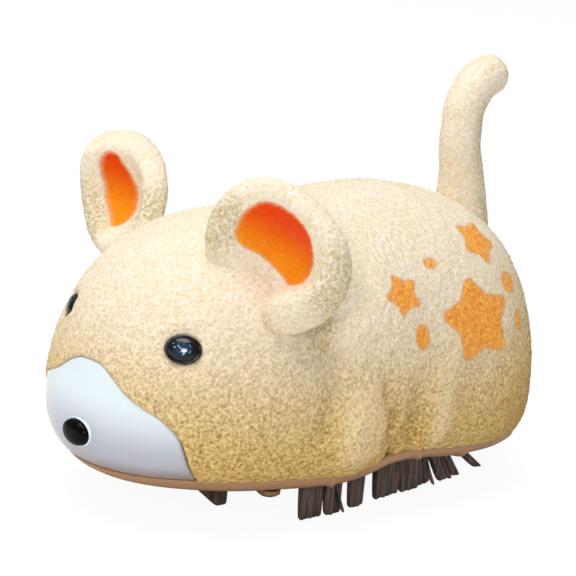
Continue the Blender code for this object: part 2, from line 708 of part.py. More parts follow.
def tail_ring(back, height, way, radius, angle):
    across = np.cos(angle) * radius
    over = np.sin(angle) * radius
    return np.stack([across, back + way[1] * over, height - way[0] * over], 1)


def make_mask():
    """Muzzle mask: rings from the nose hole to its edge, a lip behind the shell, and its inner face."""
    half_bearings, half_lifts = mask_edge_half()
    bottom_bearings = np.linspace(MASK_CORNER_BEARING, -MASK_CORNER_BEARING, MASK_SAMPLES)[1:-1]
    bottom_lifts = lift_at(bottom_bearings, nap_height(bottom_bearings))
    bearings = np.concatenate([half_bearings, bottom_bearings, -half_bearings[:0:-1]])
    lifts = np.concatenate([half_lifts, bottom_lifts, half_lifts[:0:-1]])
    radius = float(reach(np.array([0.0]), np.array([NOSE_LIFT]))[0])
    degrees_of = math.degrees(1 / radius)
    spread = np.stack([bearings, lifts - NOSE_LIFT], 1)
    size = np.linalg.norm(spread, axis=1, keepdims=True)
    hole = spread / size * (STUD_RADIUS + GAP) * degrees_of
    rim = spread * (1 - GAP * degrees_of / size)
    lower = smooth_step(lifts, -6, -2)[:, None]
    lip_reach = (MASK_LIP_BELOW + (MASK_LIP - MASK_LIP_BELOW) * lower) * degrees_of
    lip = rim + spread / size * lip_reach
    inset = rim - spread / size * MASK_WALL * degrees_of

    def ring(flat, depth):
        return skin(flat[:, 0], flat[:, 1] + NOSE_LIFT, depth)
    steps = np.linspace(0, 1, MASK_ROWS + 1)
    behind = WALL + LIP_CLEARANCE
    rings = [ring(hole + (rim - hole) * step, MASK_SINK) for step in steps]
    rings += [ring(rim, behind), ring(lip, behind), ring(lip, behind + LIP_WALL),
              ring(inset, behind + LIP_WALL)]
    rings += [ring(hole + (inset - hole) * step, MASK_SINK + MASK_WALL) for step in steps[::-1]]
    return finish_piece(lofted("muzzle_mask", rings), "mask")


def stud_profile(base, half_width, half_height, flange, dome):
    """Stud, flange and dome of a pushed-in eye or nose."""
    profile = [(base - STUD_LENGTH, STUD_RADIUS, STUD_RADIUS), (base, STUD_RADIUS, STUD_RADIUS),
               (base, half_width, half_height)]
    for degrees in (0, 20, 45, 68, 90):
        swing = math.radians(degrees)
        profile.append((base + flange + dome * math.sin(swing),
                        half_width * math.cos(swing), half_height * math.cos(swing)))
    return profile


def make_washer(name, seat, depth):
    """A push washer on a stud, just under the wall at a depth."""
    inner = STUD_RADIUS + GAP
    near = -depth - WASHER_CLEARANCE
    far = near - WASHER_THICKNESS
    rows = [(near, inner, inner), (near, WASHER_RADIUS, WASHER_RADIUS),
            (far, WASHER_RADIUS, WASHER_RADIUS), (far, inner, inner)]
    return finish_piece(turned(name, seat, rows, 16, hollow=True), "steel")


def make_face():
    for turn, word in ((1, "left"), (-1, "right")):
        seat = frame_at(turn * EYE_BEARING, EYE_LIFT)
        profile = stud_profile(GAP - EYE_SOCKET_DEPTH, EYE_HALF_WIDTH, EYE_HALF_HEIGHT, EYE_SOCKET_DEPTH,
                               EYE_DOME)
        finish_piece(turned("eye_" + word, seat, profile), "eye")
        make_washer("eye_washer_" + word, seat, WALL)
    seat = frame_at(0, NOSE_LIFT)
    profile = stud_profile(GAP - MASK_SINK, NOSE_HALF_WIDTH, NOSE_HALF_HEIGHT, NOSE_FLANGE, NOSE_DOME)
    finish_piece(turned("nose", seat, profile), "black")
    make_washer("nose_washer", seat, MASK_SINK + MASK_WALL)


def make_chassis():
    """Chassis: a shallow tub whose rim carries on the skin, with a spigot inside the shell."""
    bearings = np.arange(CHASSIS_SAMPLES) * 360 / CHASSIS_SAMPLES
    nap = lift_at(bearings, nap_height(bearings))
    hem = lift_at(bearings, hem_height(bearings))
    gap_lift = np.degrees(GAP / reach(bearings, nap))
    open_share = smooth_step(side_of(bearings), SPIGOT_START, SPIGOT_FULL)
    inner = RIM_SINK + RIM_WALL
    spigot_depth = WALL + SPIGOT_CLEARANCE
    step_depth = inner + (spigot_depth - inner) * open_share
    wall_depth = inner + (spigot_depth + SPIGOT_WALL - inner) * open_share
    rise = SPIGOT_RISE * open_share
    edge = skin(bearings, hem, RIM_SINK)
    floor_edge = skin(bearings, hem, wall_depth)
    belly = [belly_ring(edge, share, 0) for share in (FLAT_SHARE, *TURN_SHARES[::-1])]
    floor = [belly_ring(edge, share, FLOOR_THICKNESS) for share in (*TURN_SHARES[1:], FLAT_SHARE)]
    floor_edge[:, 2] = np.maximum(floor_edge[:, 2], edge[:, 2] + FLOOR_THICKNESS)
    top = nap - gap_lift
    rings = belly + [edge, skin(bearings, (hem + nap) / 2, RIM_SINK), skin(bearings, top, RIM_SINK),
                     skin(bearings, top, step_depth), skin(bearings, top + rise, step_depth),
                     skin(bearings, top + rise, wall_depth), floor_edge] + floor
    chassis = lofted("chassis", rings, (0, 0, BELLY_HEIGHT), (0, 0, BELLY_HEIGHT + FLOOR_THICKNESS))
    add_bay(chassis)
    add_cradle(chassis)
    add_switch_nest(chassis)
    add_foot_seats(chassis)
    for x, y in (FRONT_BOSS, REAR_BOSS):
        for turn in (1, -1):
            axis = upright(x * turn, y)
            floor_top = BELLY_HEIGHT + chassis_rise(x, y) + FLOOR_THICKNESS
            cut(chassis, rod("screw_hole", axis, 0, BOSS_TOP, SCREW_RADIUS + SCREW_CLEARANCE, 12))
            cut(chassis, rod("boss_room", axis, floor_top, BOSS_TOP, BOSS_RADIUS + GAP))
    return finish_piece(chassis, "tan")


def belly_ring(edge, share, lift):
    """The edge ring drawn in to a share of its size, flattening towards the belly."""
    climb = smooth_step(share, FLAT_SHARE, 1)
    height = BELLY_HEIGHT + (edge[:, 2] - BELLY_HEIGHT) * climb + lift
    return np.stack([edge[:, 0] * share, edge[:, 1] * share, height], 1)


CELL_HEIGHT = BELLY_HEIGHT + DOOR_THICKNESS + CELL_LIFT + CELL_RADIUS
FRONT_CONTACT_Y = CELL_FRONT - GAP - CONTACT_THICKNESS
REAR_CONTACT_Y = CELL_REAR + GAP + SPRING_LENGTH + GAP
BAY_HALF = DOOR_WIDTH / 2 + GAP


def add_bay(chassis):
    """Cell bay: an opening for the door, walls round the cell, and the door screw's boss."""
    floor_low = BELLY_HEIGHT + FLOOR_THICKNESS / 2
    front, rear = FRONT_CONTACT_Y - GAP, REAR_CONTACT_Y + CONTACT_THICKNESS + GAP
    outer = BAY_HALF + GAP + RIB_WALL
    join(chassis, box("front_wall", (-outer, front - RIB_WALL, floor_low), (outer, front, BAY_WALL_HEIGHT)))
    join(chassis, box("rear_wall", (-outer, rear, floor_low), (outer, rear + RIB_WALL, BAY_WALL_HEIGHT)))
    for turn in (1, -1):
        inner, far = turn * (BAY_HALF + GAP), turn * outer
        join(chassis, box("side_wall", (min(inner, far), front - RIB_WALL / 2, floor_low),
                          (max(inner, far), rear + RIB_WALL / 2, BAY_WALL_HEIGHT)))
    boss = rod("door_boss", upright(0, DOOR_SCREW_Y), floor_low, DOOR_BOSS_TOP, BOSS_RADIUS)
    pad = box("door_pad", (-outer, DOOR_FRONT - RIB_WALL, floor_low),
              (outer, front - RIB_WALL / 2, DOOR_PAD_TOP))
    join(chassis, pad, boss)
    opening_rear = DOOR_REAR + GAP
    cut(chassis, box("opening", (-BAY_HALF, front, 0), (BAY_HALF, opening_rear, DOOR_PAD_TOP)))
    cut(chassis, box("door_recess", (-BAY_HALF, DOOR_FRONT - GAP, 0),
                     (BAY_HALF, front + OVERRUN, BELLY_HEIGHT + DOOR_THICKNESS + GAP)))
    cut(chassis, rod("door_bore", upright(0, DOOR_SCREW_Y), 0, DOOR_BOSS_TOP + OVERRUN,
                     SCREW_RADIUS + SCREW_CLEARANCE, 12))


def add_cradle(chassis):
    """Motor cradle: a block with a round seat, with bores for the strap's screws."""
    half = CRADLE_WIDTH / 2
    join(chassis, box("cradle", (-half, CRADLE_FRONT, BELLY_HEIGHT + FLOOR_THICKNESS / 2),
                      (half, CRADLE_REAR, CRADLE_TOP)))
    cut(chassis, rod("motor_seat", lengthwise(0, 0, MOTOR_HEIGHT), CRADLE_FRONT - OVERRUN,
                     CRADLE_REAR + OVERRUN, MOTOR_RADIUS + GAP, 24))
    middle = (CRADLE_FRONT + CRADLE_REAR) / 2
    for turn in (1, -1):
        cut(chassis, rod("strap_bore", upright(turn * STRAP_SCREW_X, middle), CRADLE_TOP - STRAP_SCREW_LENGTH,
                         CRADLE_TOP + OVERRUN, SCREW_RADIUS + GAP, 12))
        cut(chassis, rod("plug_bore", upright(turn * SKID_X, skid_plug_y()), 0, SKID_PLUG_TOP + GAP,
                         SKID_PLUG_RADIUS + GAP, 12))


def skid_plug_y():
    return SKID_FRONT + SKID_PAD_WIDTH


def add_switch_nest(chassis):
    """A low frame round the switch and a slot for its knob."""
    x, y = SWITCH_PLACE
    half_x, half_y = SWITCH_WIDTH / 2 + GAP, SWITCH_LENGTH / 2 + GAP
    low, high = BELLY_HEIGHT + FLOOR_THICKNESS / 2, BELLY_HEIGHT + FLOOR_THICKNESS + SWITCH_HEIGHT * .6
    join(chassis, box("nest", (x - half_x - RIB_WALL, y - half_y - RIB_WALL, low),
                      (x + half_x + RIB_WALL, y + half_y + RIB_WALL, high)))
    cut(chassis, box("nest_room", (x - half_x, y - half_y, BELLY_HEIGHT + FLOOR_THICKNESS),
                     (x + half_x, y + half_y, high + OVERRUN)))
    slot_x, slot_y = KNOB_WIDTH / 2 + GAP, (KNOB_LENGTH + SWITCH_TRAVEL) / 2 + GAP
    cut(chassis, box("knob_slot", (x - slot_x, y - slot_y, 0), (x + slot_x, y + slot_y, high)))


def foot_frames():
    """Name, side, frame, length and blades of each foot: the frame's side runs along its rail."""
    front = (FRONT_FOOT_X, FRONT_FOOT_SPAN[0]), (FRONT_FOOT_X, FRONT_FOOT_SPAN[1])
    rear = REAR_FOOT_STARTS, REAR_FOOT_ENDS
    feet = ("front_foot_", front, FRONT_BLADE_SHARES), ("rear_foot_", rear, REAR_BLADE_SHARES)
    for turn, word in ((1, "left"), (-1, "right")):
        for place, ends, blades in feet:
            start, end = np.array(ends) * (turn, 1)
            length = float(np.linalg.norm(end - start))
            along = np.array([*(end - start) / length, 0])
            up = np.array([0.0, 0, 1])
            yield place + word, turn, ((*start, 0), along, up, np.cross(along, up)), length, blades


def add_foot_seats(chassis):
    """A thick seat over each foot rail, with the rail's channel cut from below."""
    floor_low = BELLY_HEIGHT + FLOOR_THICKNESS
    for _, _, frame, length, _ in foot_frames():
        half = FOOT_SEAT_WIDTH / 2
        seat = framed_box("foot_seat", frame, (-RIB_WALL, floor_low, -half),
                          (length + RIB_WALL, FOOT_SEAT_TOP, half))
        within = skin_solid("limit", WALL + SPIGOT_CLEARANCE + SPIGOT_WALL / 2)
        join(chassis, combine(seat, within, "INTERSECT"))
    for _, _, frame, length, _ in foot_frames():
        half = RAIL_THICKNESS / 2 + GAP
        cut(chassis, framed_box("channel", frame, (-GAP, 0, -half), (length + GAP, RAIL_TOP + GAP, half)))


def make_feet():
    """Rubber feet: flat blades under a rail that is pressed into the chassis."""
    for name, turn, frame, length, blades in foot_frames():
        half, thin = RAIL_THICKNESS / 2, FOOT_THICKNESS / 2
        under = RAIL_TOP - RAIL_HEIGHT
        foot = framed_box(name, frame, (0, under, -half), (length, RAIL_TOP, half))
        root = under + RAIL_HEIGHT / 2
        round_off = FOOT_THICKNESS / 3
        for number, (top_a, top_b, tip_a, tip_b, tip) in enumerate(blades):
            low = tip * under
            outline = [(top_a * length, root), (top_b * length, root), (top_b * length, under),
                       (tip_b * length, low + round_off), (tip_b * length - round_off, low),
                       (tip_a * length + round_off, low), (tip_a * length, low + round_off),
                       (top_a * length, under)]
            shift = turn * thin * (.35 if number % 2 else -.35)
            join(foot, plate("blade", frame, outline, shift - thin, shift + thin))
        finish_piece(foot, "rubber")


def make_skids():
    """Small chin fins: a pad under the belly with a plug, and a fin with a slanted front edge."""
    for turn, word in ((1, "left"), (-1, "right")):
        x = SKID_X * turn
        top = BELLY_HEIGHT - GAP
        half, thin = SKID_PAD_WIDTH / 2, FOOT_THICKNESS / 2
        pad_low = top - SKID_PAD_THICKNESS
        skid = box("chin_skid_" + word, (x - half, SKID_FRONT, pad_low), (x + half, SKID_REAR, top))
        frame = (x, 0, 0), (0, 1, 0), (0, 0, 1), (1, 0, 0)
        tip = SKID_REAR - SKID_PAD_WIDTH / 3
        root = top - SKID_PAD_THICKNESS / 2
        bevel = SKID_LOW + SKID_PAD_THICKNESS
        outline = [(SKID_FRONT + GAP, root), (SKID_FRONT + GAP, pad_low), (tip - SKID_PAD_WIDTH, bevel),
                   (tip - SKID_PAD_THICKNESS, SKID_LOW), (tip, SKID_LOW), (SKID_REAR - GAP, bevel),
                   (SKID_REAR - GAP, root)]
        join(skid, plate("fin", frame, outline, -thin, thin))
        join(skid, rod("plug", upright(x, skid_plug_y()), top - SKID_PAD_THICKNESS / 2, SKID_PLUG_TOP,
                       SKID_PLUG_RADIUS, 12))
        finish_piece(skid, "rubber")


def make_screw(name, frame, length):
    """A pan-head screw driven along the frame's axis from its underside."""
    screw = turned(name, frame, [(-SCREW_HEAD_HEIGHT, SCREW_HEAD_RADIUS * .7, SCREW_HEAD_RADIUS * .7),
                                 (-SCREW_HEAD_HEIGHT * .6, SCREW_HEAD_RADIUS, SCREW_HEAD_RADIUS),
                                 (0, SCREW_HEAD_RADIUS, SCREW_HEAD_RADIUS), (0, SCREW_RADIUS, SCREW_RADIUS),
                                 (length - SCREW_RADIUS, SCREW_RADIUS, SCREW_RADIUS),
                                 (length, SCREW_RADIUS * .4, SCREW_RADIUS * .4)], 12)
    reach_out = SCREW_HEAD_RADIUS * .75
    return cut(screw, framed_box("slot", frame, (-reach_out, -SLOT_WIDTH / 2, -SCREW_HEAD_HEIGHT * 2),
                                 (reach_out, SLOT_WIDTH / 2, -SCREW_HEAD_HEIGHT * .5)))


def make_fasteners():
    """Four screws up through the chassis into the shell, and two down through the motor strap."""
    for place, (x, y) in (("front", FRONT_BOSS), ("rear", REAR_BOSS)):
        for turn, word in ((1, "left"), (-1, "right")):
            seat = upright(x * turn, y, BELLY_HEIGHT + chassis_rise(x, y) - GAP)
            finish_piece(make_screw(f"chassis_screw_{place}_{word}", seat, CHASSIS_SCREW_LENGTH), "steel")
    middle = (CRADLE_FRONT + CRADLE_REAR) / 2
    strap_top = CRADLE_TOP + GAP + STRAP_THICKNESS + GAP
    for turn, word in ((1, "left"), (-1, "right")):
        down = (turn * STRAP_SCREW_X, middle, strap_top), (1, 0, 0), (0, -1, 0), (0, 0, -1)
        finish_piece(make_screw("strap_screw_" + word, down, STRAP_SCREW_LENGTH), "steel")


def make_door():
    """Battery door: a plate with a tongue over the floor behind it, and its screw."""
    half = DOOR_WIDTH / 2
    top = BELLY_HEIGHT + DOOR_THICKNESS
    door = box("battery_door", (-half, DOOR_FRONT, BELLY_HEIGHT), (half, DOOR_REAR, top))
    tongue_low = BELLY_HEIGHT + FLOOR_THICKNESS + chassis_rise(0, DOOR_REAR + DOOR_TONGUE_REACH) + GAP
    tongue_top = tongue_low + DOOR_TONGUE_THICKNESS
    wide = DOOR_TONGUE_WIDTH / 2
    front = DOOR_REAR - DOOR_TONGUE_THICKNESS
    join(door, box("root", (-wide, front, BELLY_HEIGHT + DOOR_THICKNESS / 2), (wide, DOOR_REAR, tongue_top)))
    join(door, box("tongue", (-wide, front, tongue_low), (wide, DOOR_REAR + DOOR_TONGUE_REACH, tongue_top)))
    cut(door, rod("screw_hole", upright(0, DOOR_SCREW_Y), 0, BAY_WALL_HEIGHT,
                  SCREW_RADIUS + SCREW_CLEARANCE, 12))
    cut(door, box("finger_notch", (-wide, DOOR_FRONT - OVERRUN, BELLY_HEIGHT - OVERRUN),
                  (wide, DOOR_FRONT + DOOR_TONGUE_REACH / 2, BELLY_HEIGHT + DOOR_THICKNESS / 2)))
    finish_piece(door, "tan")
    length = DOOR_BOSS_TOP - BELLY_HEIGHT - GAP
    finish_piece(make_screw("door_screw", upright(0, DOOR_SCREW_Y, BELLY_HEIGHT - GAP), length), "steel")


def make_battery():
    """A round cell with its raised front terminal, its two contacts and the rear spring."""
    rim = CELL_RADIUS * .9
    bevel = CELL_RADIUS * .08
    rows = [(-CELL_NUB_LENGTH, CELL_NUB_RADIUS, CELL_NUB_RADIUS), (0, CELL_NUB_RADIUS, CELL_NUB_RADIUS),
            (0, rim, rim), (bevel, CELL_RADIUS, CELL_RADIUS)]
    long = CELL_LENGTH - CELL_NUB_LENGTH
    rows += [(long - bevel, CELL_RADIUS, CELL_RADIUS), (long, rim, rim)]
    line = lengthwise(0, CELL_FRONT + CELL_NUB_LENGTH, CELL_HEIGHT)
    finish_piece(turned("battery_cell", line, rows, 28), "cell")
    for name, y, tag in (("front_contact", FRONT_CONTACT_Y, -1), ("rear_contact", REAR_CONTACT_Y, 1)):
        low = BELLY_HEIGHT + FLOOR_THICKNESS + CONTACT_FOOT_RISE
        half = CONTACT_WIDTH / 2
        top = low + CONTACT_HEIGHT
        rear = y + CONTACT_THICKNESS
        piece = box(name, (-half, y, low), (half, rear, top))
        inner = tag * (half - CONTACT_TAG_WIDTH)
        join(piece, box("tag", (min(inner, tag * half), y, top - CONTACT_HEIGHT / 2),
                        (max(inner, tag * half), rear, top + CONTACT_TAG_HEIGHT)))
        finish_piece(piece, "brass")
    turns = np.linspace(0, SPRING_TURNS, SPRING_TURNS * 10 + 1)
    angle = turns * 2 * math.pi
    start = CELL_REAR + GAP + SPRING_WIRE
    run = SPRING_LENGTH - 2 * SPRING_WIRE
    points = np.stack([SPRING_RADIUS * np.cos(angle), start + run * turns / SPRING_TURNS,
                       CELL_HEIGHT + SPRING_RADIUS * np.sin(angle)], 1)
    finish_piece(tube("contact_spring", points, SPRING_WIRE, 1), "steel")


def tube(name, points, radius, resolution):
    """A round wire along points, with filled ends."""
    curve = bpy.data.curves.new(name, "CURVE")
    curve.dimensions = "3D"
    curve.bevel_depth = radius
    curve.bevel_resolution = resolution
    curve.use_fill_caps = True
    line = curve.splines.new("POLY")
    line.points.add(len(points) - 1)
    for place, point in zip(line.points, points):
        place.co = (*map(float, point), 1)
    piece = bpy.data.objects.new(name, curve)
    bpy.context.collection.objects.link(piece)
    return piece


def make_motor():
    """Can motor: can with its bearing boss, end cap, terminals, shaft and eccentric weight."""
    front = MOTOR_REAR - MOTOR_LENGTH
    bevel = MOTOR_RADIUS * .08
    rows = [(front, MOTOR_RADIUS, MOTOR_RADIUS), (MOTOR_REAR - bevel, MOTOR_RADIUS, MOTOR_RADIUS),
            (MOTOR_REAR, MOTOR_RADIUS - bevel, MOTOR_RADIUS - bevel),
            (MOTOR_REAR, MOTOR_BEARING_RADIUS, MOTOR_BEARING_RADIUS),
            (MOTOR_REAR + MOTOR_BEARING_LENGTH, MOTOR_BEARING_RADIUS, MOTOR_BEARING_RADIUS)]
    line = lengthwise(0, 0, MOTOR_HEIGHT)
    can = turned("motor_can", line, rows, 28)
    shaft_start = MOTOR_REAR - MOTOR_LENGTH / 3
    cut(can, rod("shaft_bore", line, shaft_start - GAP, MOTOR_REAR + MOTOR_BEARING_LENGTH + OVERRUN,
                 SHAFT_RADIUS + GAP, 12))
    finish_piece(can, "steel")
    cap_rear = front - GAP
    cap_rows = [(cap_rear - END_CAP_LENGTH, MOTOR_RADIUS * .85, MOTOR_RADIUS * .85),
                (cap_rear - END_CAP_LENGTH / 3, MOTOR_RADIUS, MOTOR_RADIUS),
                (cap_rear, MOTOR_RADIUS, MOTOR_RADIUS)]
    finish_piece(turned("motor_end_cap", line, cap_rows, 24), "white")
    terminal_rear = cap_rear - END_CAP_LENGTH - GAP
    for turn, word in ((1, "left"), (-1, "right")):
        low_x = turn * TERMINAL_OFFSET - TERMINAL_WIDTH / 2
        lug = box("motor_terminal_" + word, (low_x, terminal_rear - TERMINAL_LENGTH, MOTOR_HEIGHT),
                  (low_x + TERMINAL_WIDTH, terminal_rear, MOTOR_HEIGHT + TERMINAL_THICKNESS))
        finish_piece(lug, "brass")
    finish_piece(rod("rotor_shaft", line, shaft_start, shaft_start + MOTOR_LENGTH / 3 + SHAFT_LENGTH,
                     SHAFT_RADIUS, 12), "steel")
    weight_front = MOTOR_REAR + MOTOR_BEARING_LENGTH + GAP
    weight = rod("eccentric_weight", line, weight_front, weight_front + WEIGHT_LENGTH, WEIGHT_RADIUS, 28)
    cut(weight, box("upper_half", (-MOTOR_RADIUS, weight_front - OVERRUN, MOTOR_HEIGHT),
                    (MOTOR_RADIUS, weight_front + WEIGHT_LENGTH + OVERRUN, MOTOR_HEIGHT + MOTOR_RADIUS)))
    join(weight, rod("hub", line, weight_front, weight_front + WEIGHT_LENGTH, WEIGHT_HUB_RADIUS, 20))
    cut(weight, rod("hub_bore", line, weight_front - OVERRUN, weight_front + WEIGHT_LENGTH + OVERRUN,
                    SHAFT_RADIUS + GAP, 12))
    finish_piece(weight, "steel")
    make_strap()


def make_strap():
    """A half-round strap over the can with two flat feet."""
    middle = (CRADLE_FRONT + CRADLE_REAR) / 2
    inner = MOTOR_RADIUS + GAP
    outer = inner + STRAP_THICKNESS
    low = CRADLE_TOP + GAP - MOTOR_HEIGHT
    foot = STRAP_SCREW_X + SCREW_HEAD_RADIUS
    start = math.asin(max(-1, (low + STRAP_THICKNESS) / outer))
    over = [start + (math.pi - 2 * start) * k / 16 for k in range(17)]
    start_in = math.asin(max(-1, low / inner))
    under = [start_in + (math.pi - 2 * start_in) * k / 16 for k in range(17)]
    outline = [(foot, low), (foot, low + STRAP_THICKNESS)]
    outline += [(outer * math.cos(a), outer * math.sin(a)) for a in over]
    outline += [(-foot, low + STRAP_THICKNESS), (-foot, low)]
    outline += [(inner * math.cos(a), inner * math.sin(a)) for a in reversed(under)]
    frame = (0, middle, MOTOR_HEIGHT), (1, 0, 0), (0, 0, 1), (0, 1, 0)
    strap = plate("motor_strap", frame, outline, -STRAP_WIDTH / 2, STRAP_WIDTH / 2)
    for turn in (1, -1):
        cut(strap, rod("strap_hole", upright(turn * STRAP_SCREW_X, middle), 0, CRADLE_TOP + GAP * 2
                       + STRAP_THICKNESS + OVERRUN / 5, SCREW_RADIUS + GAP, 12))
    finish_piece(strap, "steel")


def make_switch():
    """Slide switch: a body with a pocket below, and a slider whose knob passes through the chassis."""
    x, y = SWITCH_PLACE
    base = BELLY_HEIGHT + FLOOR_THICKNESS + GAP
    half_x, half_y = SWITCH_WIDTH / 2, SWITCH_LENGTH / 2
    body = box("switch_body", (x - half_x, y - half_y, base), (x + half_x, y + half_y, base + SWITCH_HEIGHT))
    room_x = CARRIAGE_WIDTH / 2 + GAP
    room_y = (CARRIAGE_LENGTH + SWITCH_TRAVEL) / 2 + GAP
    cut(body, box("pocket", (x - room_x, y - room_y, base - OVERRUN), (x + room_x, y + room_y,
                                                                   base + SWITCH_POCKET_HEIGHT)))
    for turn in (1, -1):
        lug_y = y + turn * LUG_OFFSET
        join(body, box("lug", (x - TERMINAL_THICKNESS, lug_y - LUG_LENGTH / 2, base + SWITCH_HEIGHT / 2),
                       (x + TERMINAL_THICKNESS, lug_y + LUG_LENGTH / 2, base + SWITCH_HEIGHT + LUG_HEIGHT)))
    finish_piece(body, "dark")
    start = y - SWITCH_TRAVEL / 2
    slider = box("switch_slider", (x - CARRIAGE_WIDTH / 2, start - CARRIAGE_LENGTH / 2, base),
                 (x + CARRIAGE_WIDTH / 2, start + CARRIAGE_LENGTH / 2, base + CARRIAGE_HEIGHT))
    join(slider, box("knob", (x - KNOB_WIDTH / 2, start - KNOB_LENGTH / 2, BELLY_HEIGHT - KNOB_PROUD),
                     (x + KNOB_WIDTH / 2, start + KNOB_LENGTH / 2, base + CARRIAGE_HEIGHT / 2)))
    finish_piece(slider, "black")


def lead(name, points, look):
    """A wire through hand-set points, rounded by a smooth curve."""
    points = np.array(points, float)
    run = np.concatenate([[0], np.cumsum(np.linalg.norm(np.diff(points, axis=0), axis=1))])
    at = np.linspace(0, run[-1], LEAD_POINTS)
    smooth = np.stack([table(at, run, points[:, k]) for k in range(3)], 1)
    finish_piece(tube(name, smooth, LEAD_RADIUS, 1), look)


def make_leads():
    """Three leads: cell to switch, switch to motor, and motor back to the rear contact."""
    switch_x, switch_y = SWITCH_PLACE
    lug_top = BELLY_HEIGHT + FLOOR_THICKNESS + GAP + SWITCH_HEIGHT + LUG_HEIGHT + GAP + LEAD_RADIUS
    tag_top = BELLY_HEIGHT + FLOOR_THICKNESS + CONTACT_FOOT_RISE + CONTACT_HEIGHT + CONTACT_TAG_HEIGHT
    tag_x = CONTACT_WIDTH / 2 - CONTACT_TAG_WIDTH / 2
    tag_z = tag_top + GAP + LEAD_RADIUS
    high = tag_z + LEAD_RADIUS * 2
    terminal_y = MOTOR_REAR - MOTOR_LENGTH - END_CAP_LENGTH - GAP * 2 - TERMINAL_LENGTH / 2
    terminal_z = MOTOR_HEIGHT + TERMINAL_THICKNESS + GAP + LEAD_RADIUS
    side_z = terminal_z + LEAD_RADIUS * 2
    contact_mid = CONTACT_THICKNESS / 2
    front_tag_y = FRONT_CONTACT_Y + contact_mid
    lead("cell_lead", [(-tag_x, front_tag_y, tag_z), (-tag_x * 1.4, front_tag_y, high),
                       (-LEAD_SIDE * .85, switch_y - LUG_OFFSET * .6, high),
                       (switch_x, switch_y + LUG_OFFSET * .8, high),
                       (switch_x, switch_y + LUG_OFFSET, lug_top)], "red")
    lead("motor_lead", [(switch_x, switch_y - LUG_OFFSET, lug_top),
                        (switch_x, switch_y - LUG_OFFSET * 1.3, side_z),
                        (-LEAD_SIDE, CRADLE_REAR, side_z), (-LEAD_SIDE * .8, CRADLE_FRONT, side_z),
                        (-LEAD_SIDE * .5, terminal_y, side_z),
                        (-TERMINAL_OFFSET, terminal_y, terminal_z)], "red")
    lead("return_lead", [(TERMINAL_OFFSET, terminal_y, terminal_z), (LEAD_SIDE * .5, terminal_y, side_z),
                         (LEAD_SIDE * .8, CRADLE_FRONT, side_z), (LEAD_SIDE, CRADLE_REAR, side_z),
                         (LEAD_SIDE, CELL_FRONT, side_z), (LEAD_SIDE, CELL_REAR, side_z),
                         (tag_x * 1.6, REAR_CONTACT_Y + contact_mid, high),
                         (tag_x, REAR_CONTACT_Y + contact_mid, tag_z)], "dark")


def main():
    clear_scene()
    make_shell()
    make_mask()
    make_face()
    for turn, word in ((1, "left"), (-1, "right")):
        make_ear(turn, word)
    make_tail()
    make_chassis()
    make_door()
    make_battery()
    make_motor()
    make_switch()
    make_leads()
    make_feet()
    make_skids()
    make_fasteners()
    pieces = list(bpy.data.objects)
    toy = bpy.data.objects.new("toy_origin", None)
    bpy.context.collection.objects.link(toy)
    toy.location = (0, BODY_SETBACK, 0)
    for piece in pieces:
        piece.parent = toy
    bpy.context.view_layer.update()


main()
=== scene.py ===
"""Looks of a flocked vibrating pet toy: a pile shell with ears and tail, a glossy muzzle and rubber feet.

Shapes are worked out in millimetres in the body's own frame, whose nose points along -Y, and are put
into the row frame in metres when a piece is made.
"""
import json
import math

import bpy
import numpy as np
from mathutils import Matrix, Vector


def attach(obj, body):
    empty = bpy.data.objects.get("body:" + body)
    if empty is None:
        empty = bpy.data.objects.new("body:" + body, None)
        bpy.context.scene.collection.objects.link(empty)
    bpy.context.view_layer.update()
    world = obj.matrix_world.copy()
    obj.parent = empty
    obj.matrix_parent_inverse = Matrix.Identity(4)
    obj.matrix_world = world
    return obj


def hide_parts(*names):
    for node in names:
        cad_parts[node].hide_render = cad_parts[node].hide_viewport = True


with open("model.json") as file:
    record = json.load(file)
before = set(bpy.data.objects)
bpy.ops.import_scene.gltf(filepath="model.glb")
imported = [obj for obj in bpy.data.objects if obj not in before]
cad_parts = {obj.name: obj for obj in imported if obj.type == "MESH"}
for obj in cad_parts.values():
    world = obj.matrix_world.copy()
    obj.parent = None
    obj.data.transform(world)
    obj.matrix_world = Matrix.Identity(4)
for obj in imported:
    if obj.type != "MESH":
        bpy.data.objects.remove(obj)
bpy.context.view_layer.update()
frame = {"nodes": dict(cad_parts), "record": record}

# How far the body's middle lies behind the middle of the row's frame
SETBACK = 1.3

# The body's driving sizes, its section along its length as shares of them, and the bell-shaped swellings
# on it: bearing, lift, half turn, half rise and height of each
LENGTH, WIDTH, HEIGHT, CORE = 87.4, 52.0, 48.1, 15.0
STATIONS = (0, .08, .16, .25, .34, .43, .52, .61, .70, .79, .88, 1)
WIDTHS = (0, .30, .585, .79, .925, .99, 1, .98, .935, .795, .545, 0)
CROWNS = (.29, .50, .70, .867, .94, .96, .987, 1, .967, .88, .715, .39)
KEELS = (.29, .195, .143, .098, .056, .03, .03, .033, .031, .035, .127, .39)
SWELLS = ((69, -2, 9, 15, 1.3), (124, 2, 17, 15, .9), (44, 8, 17, 20, .7), (90, 45, 15, 24, .6),
          (63, 24, 5, 20, -.9))
# The creases also carry painted shade in their hollows and painted highlight on their rises
CREASES = ((73, 4, 9.5, 13, 1.3), (83, 15, 2.6, 5, -.9), (86.5, 4, 2.4, 7, -1.3), (90, -8, 2.6, 7, -1.1),
           (59, 9, 4, 9, -.7), (115, 22, 6, 8, .5), (109, 12, 5, 8, .6), (108, -1, 5, 9, .8),
           (97, 3, 5, 12, -.9), (56, 33, 5, 7, -1.3), (82, 52, 10, 10, .5))

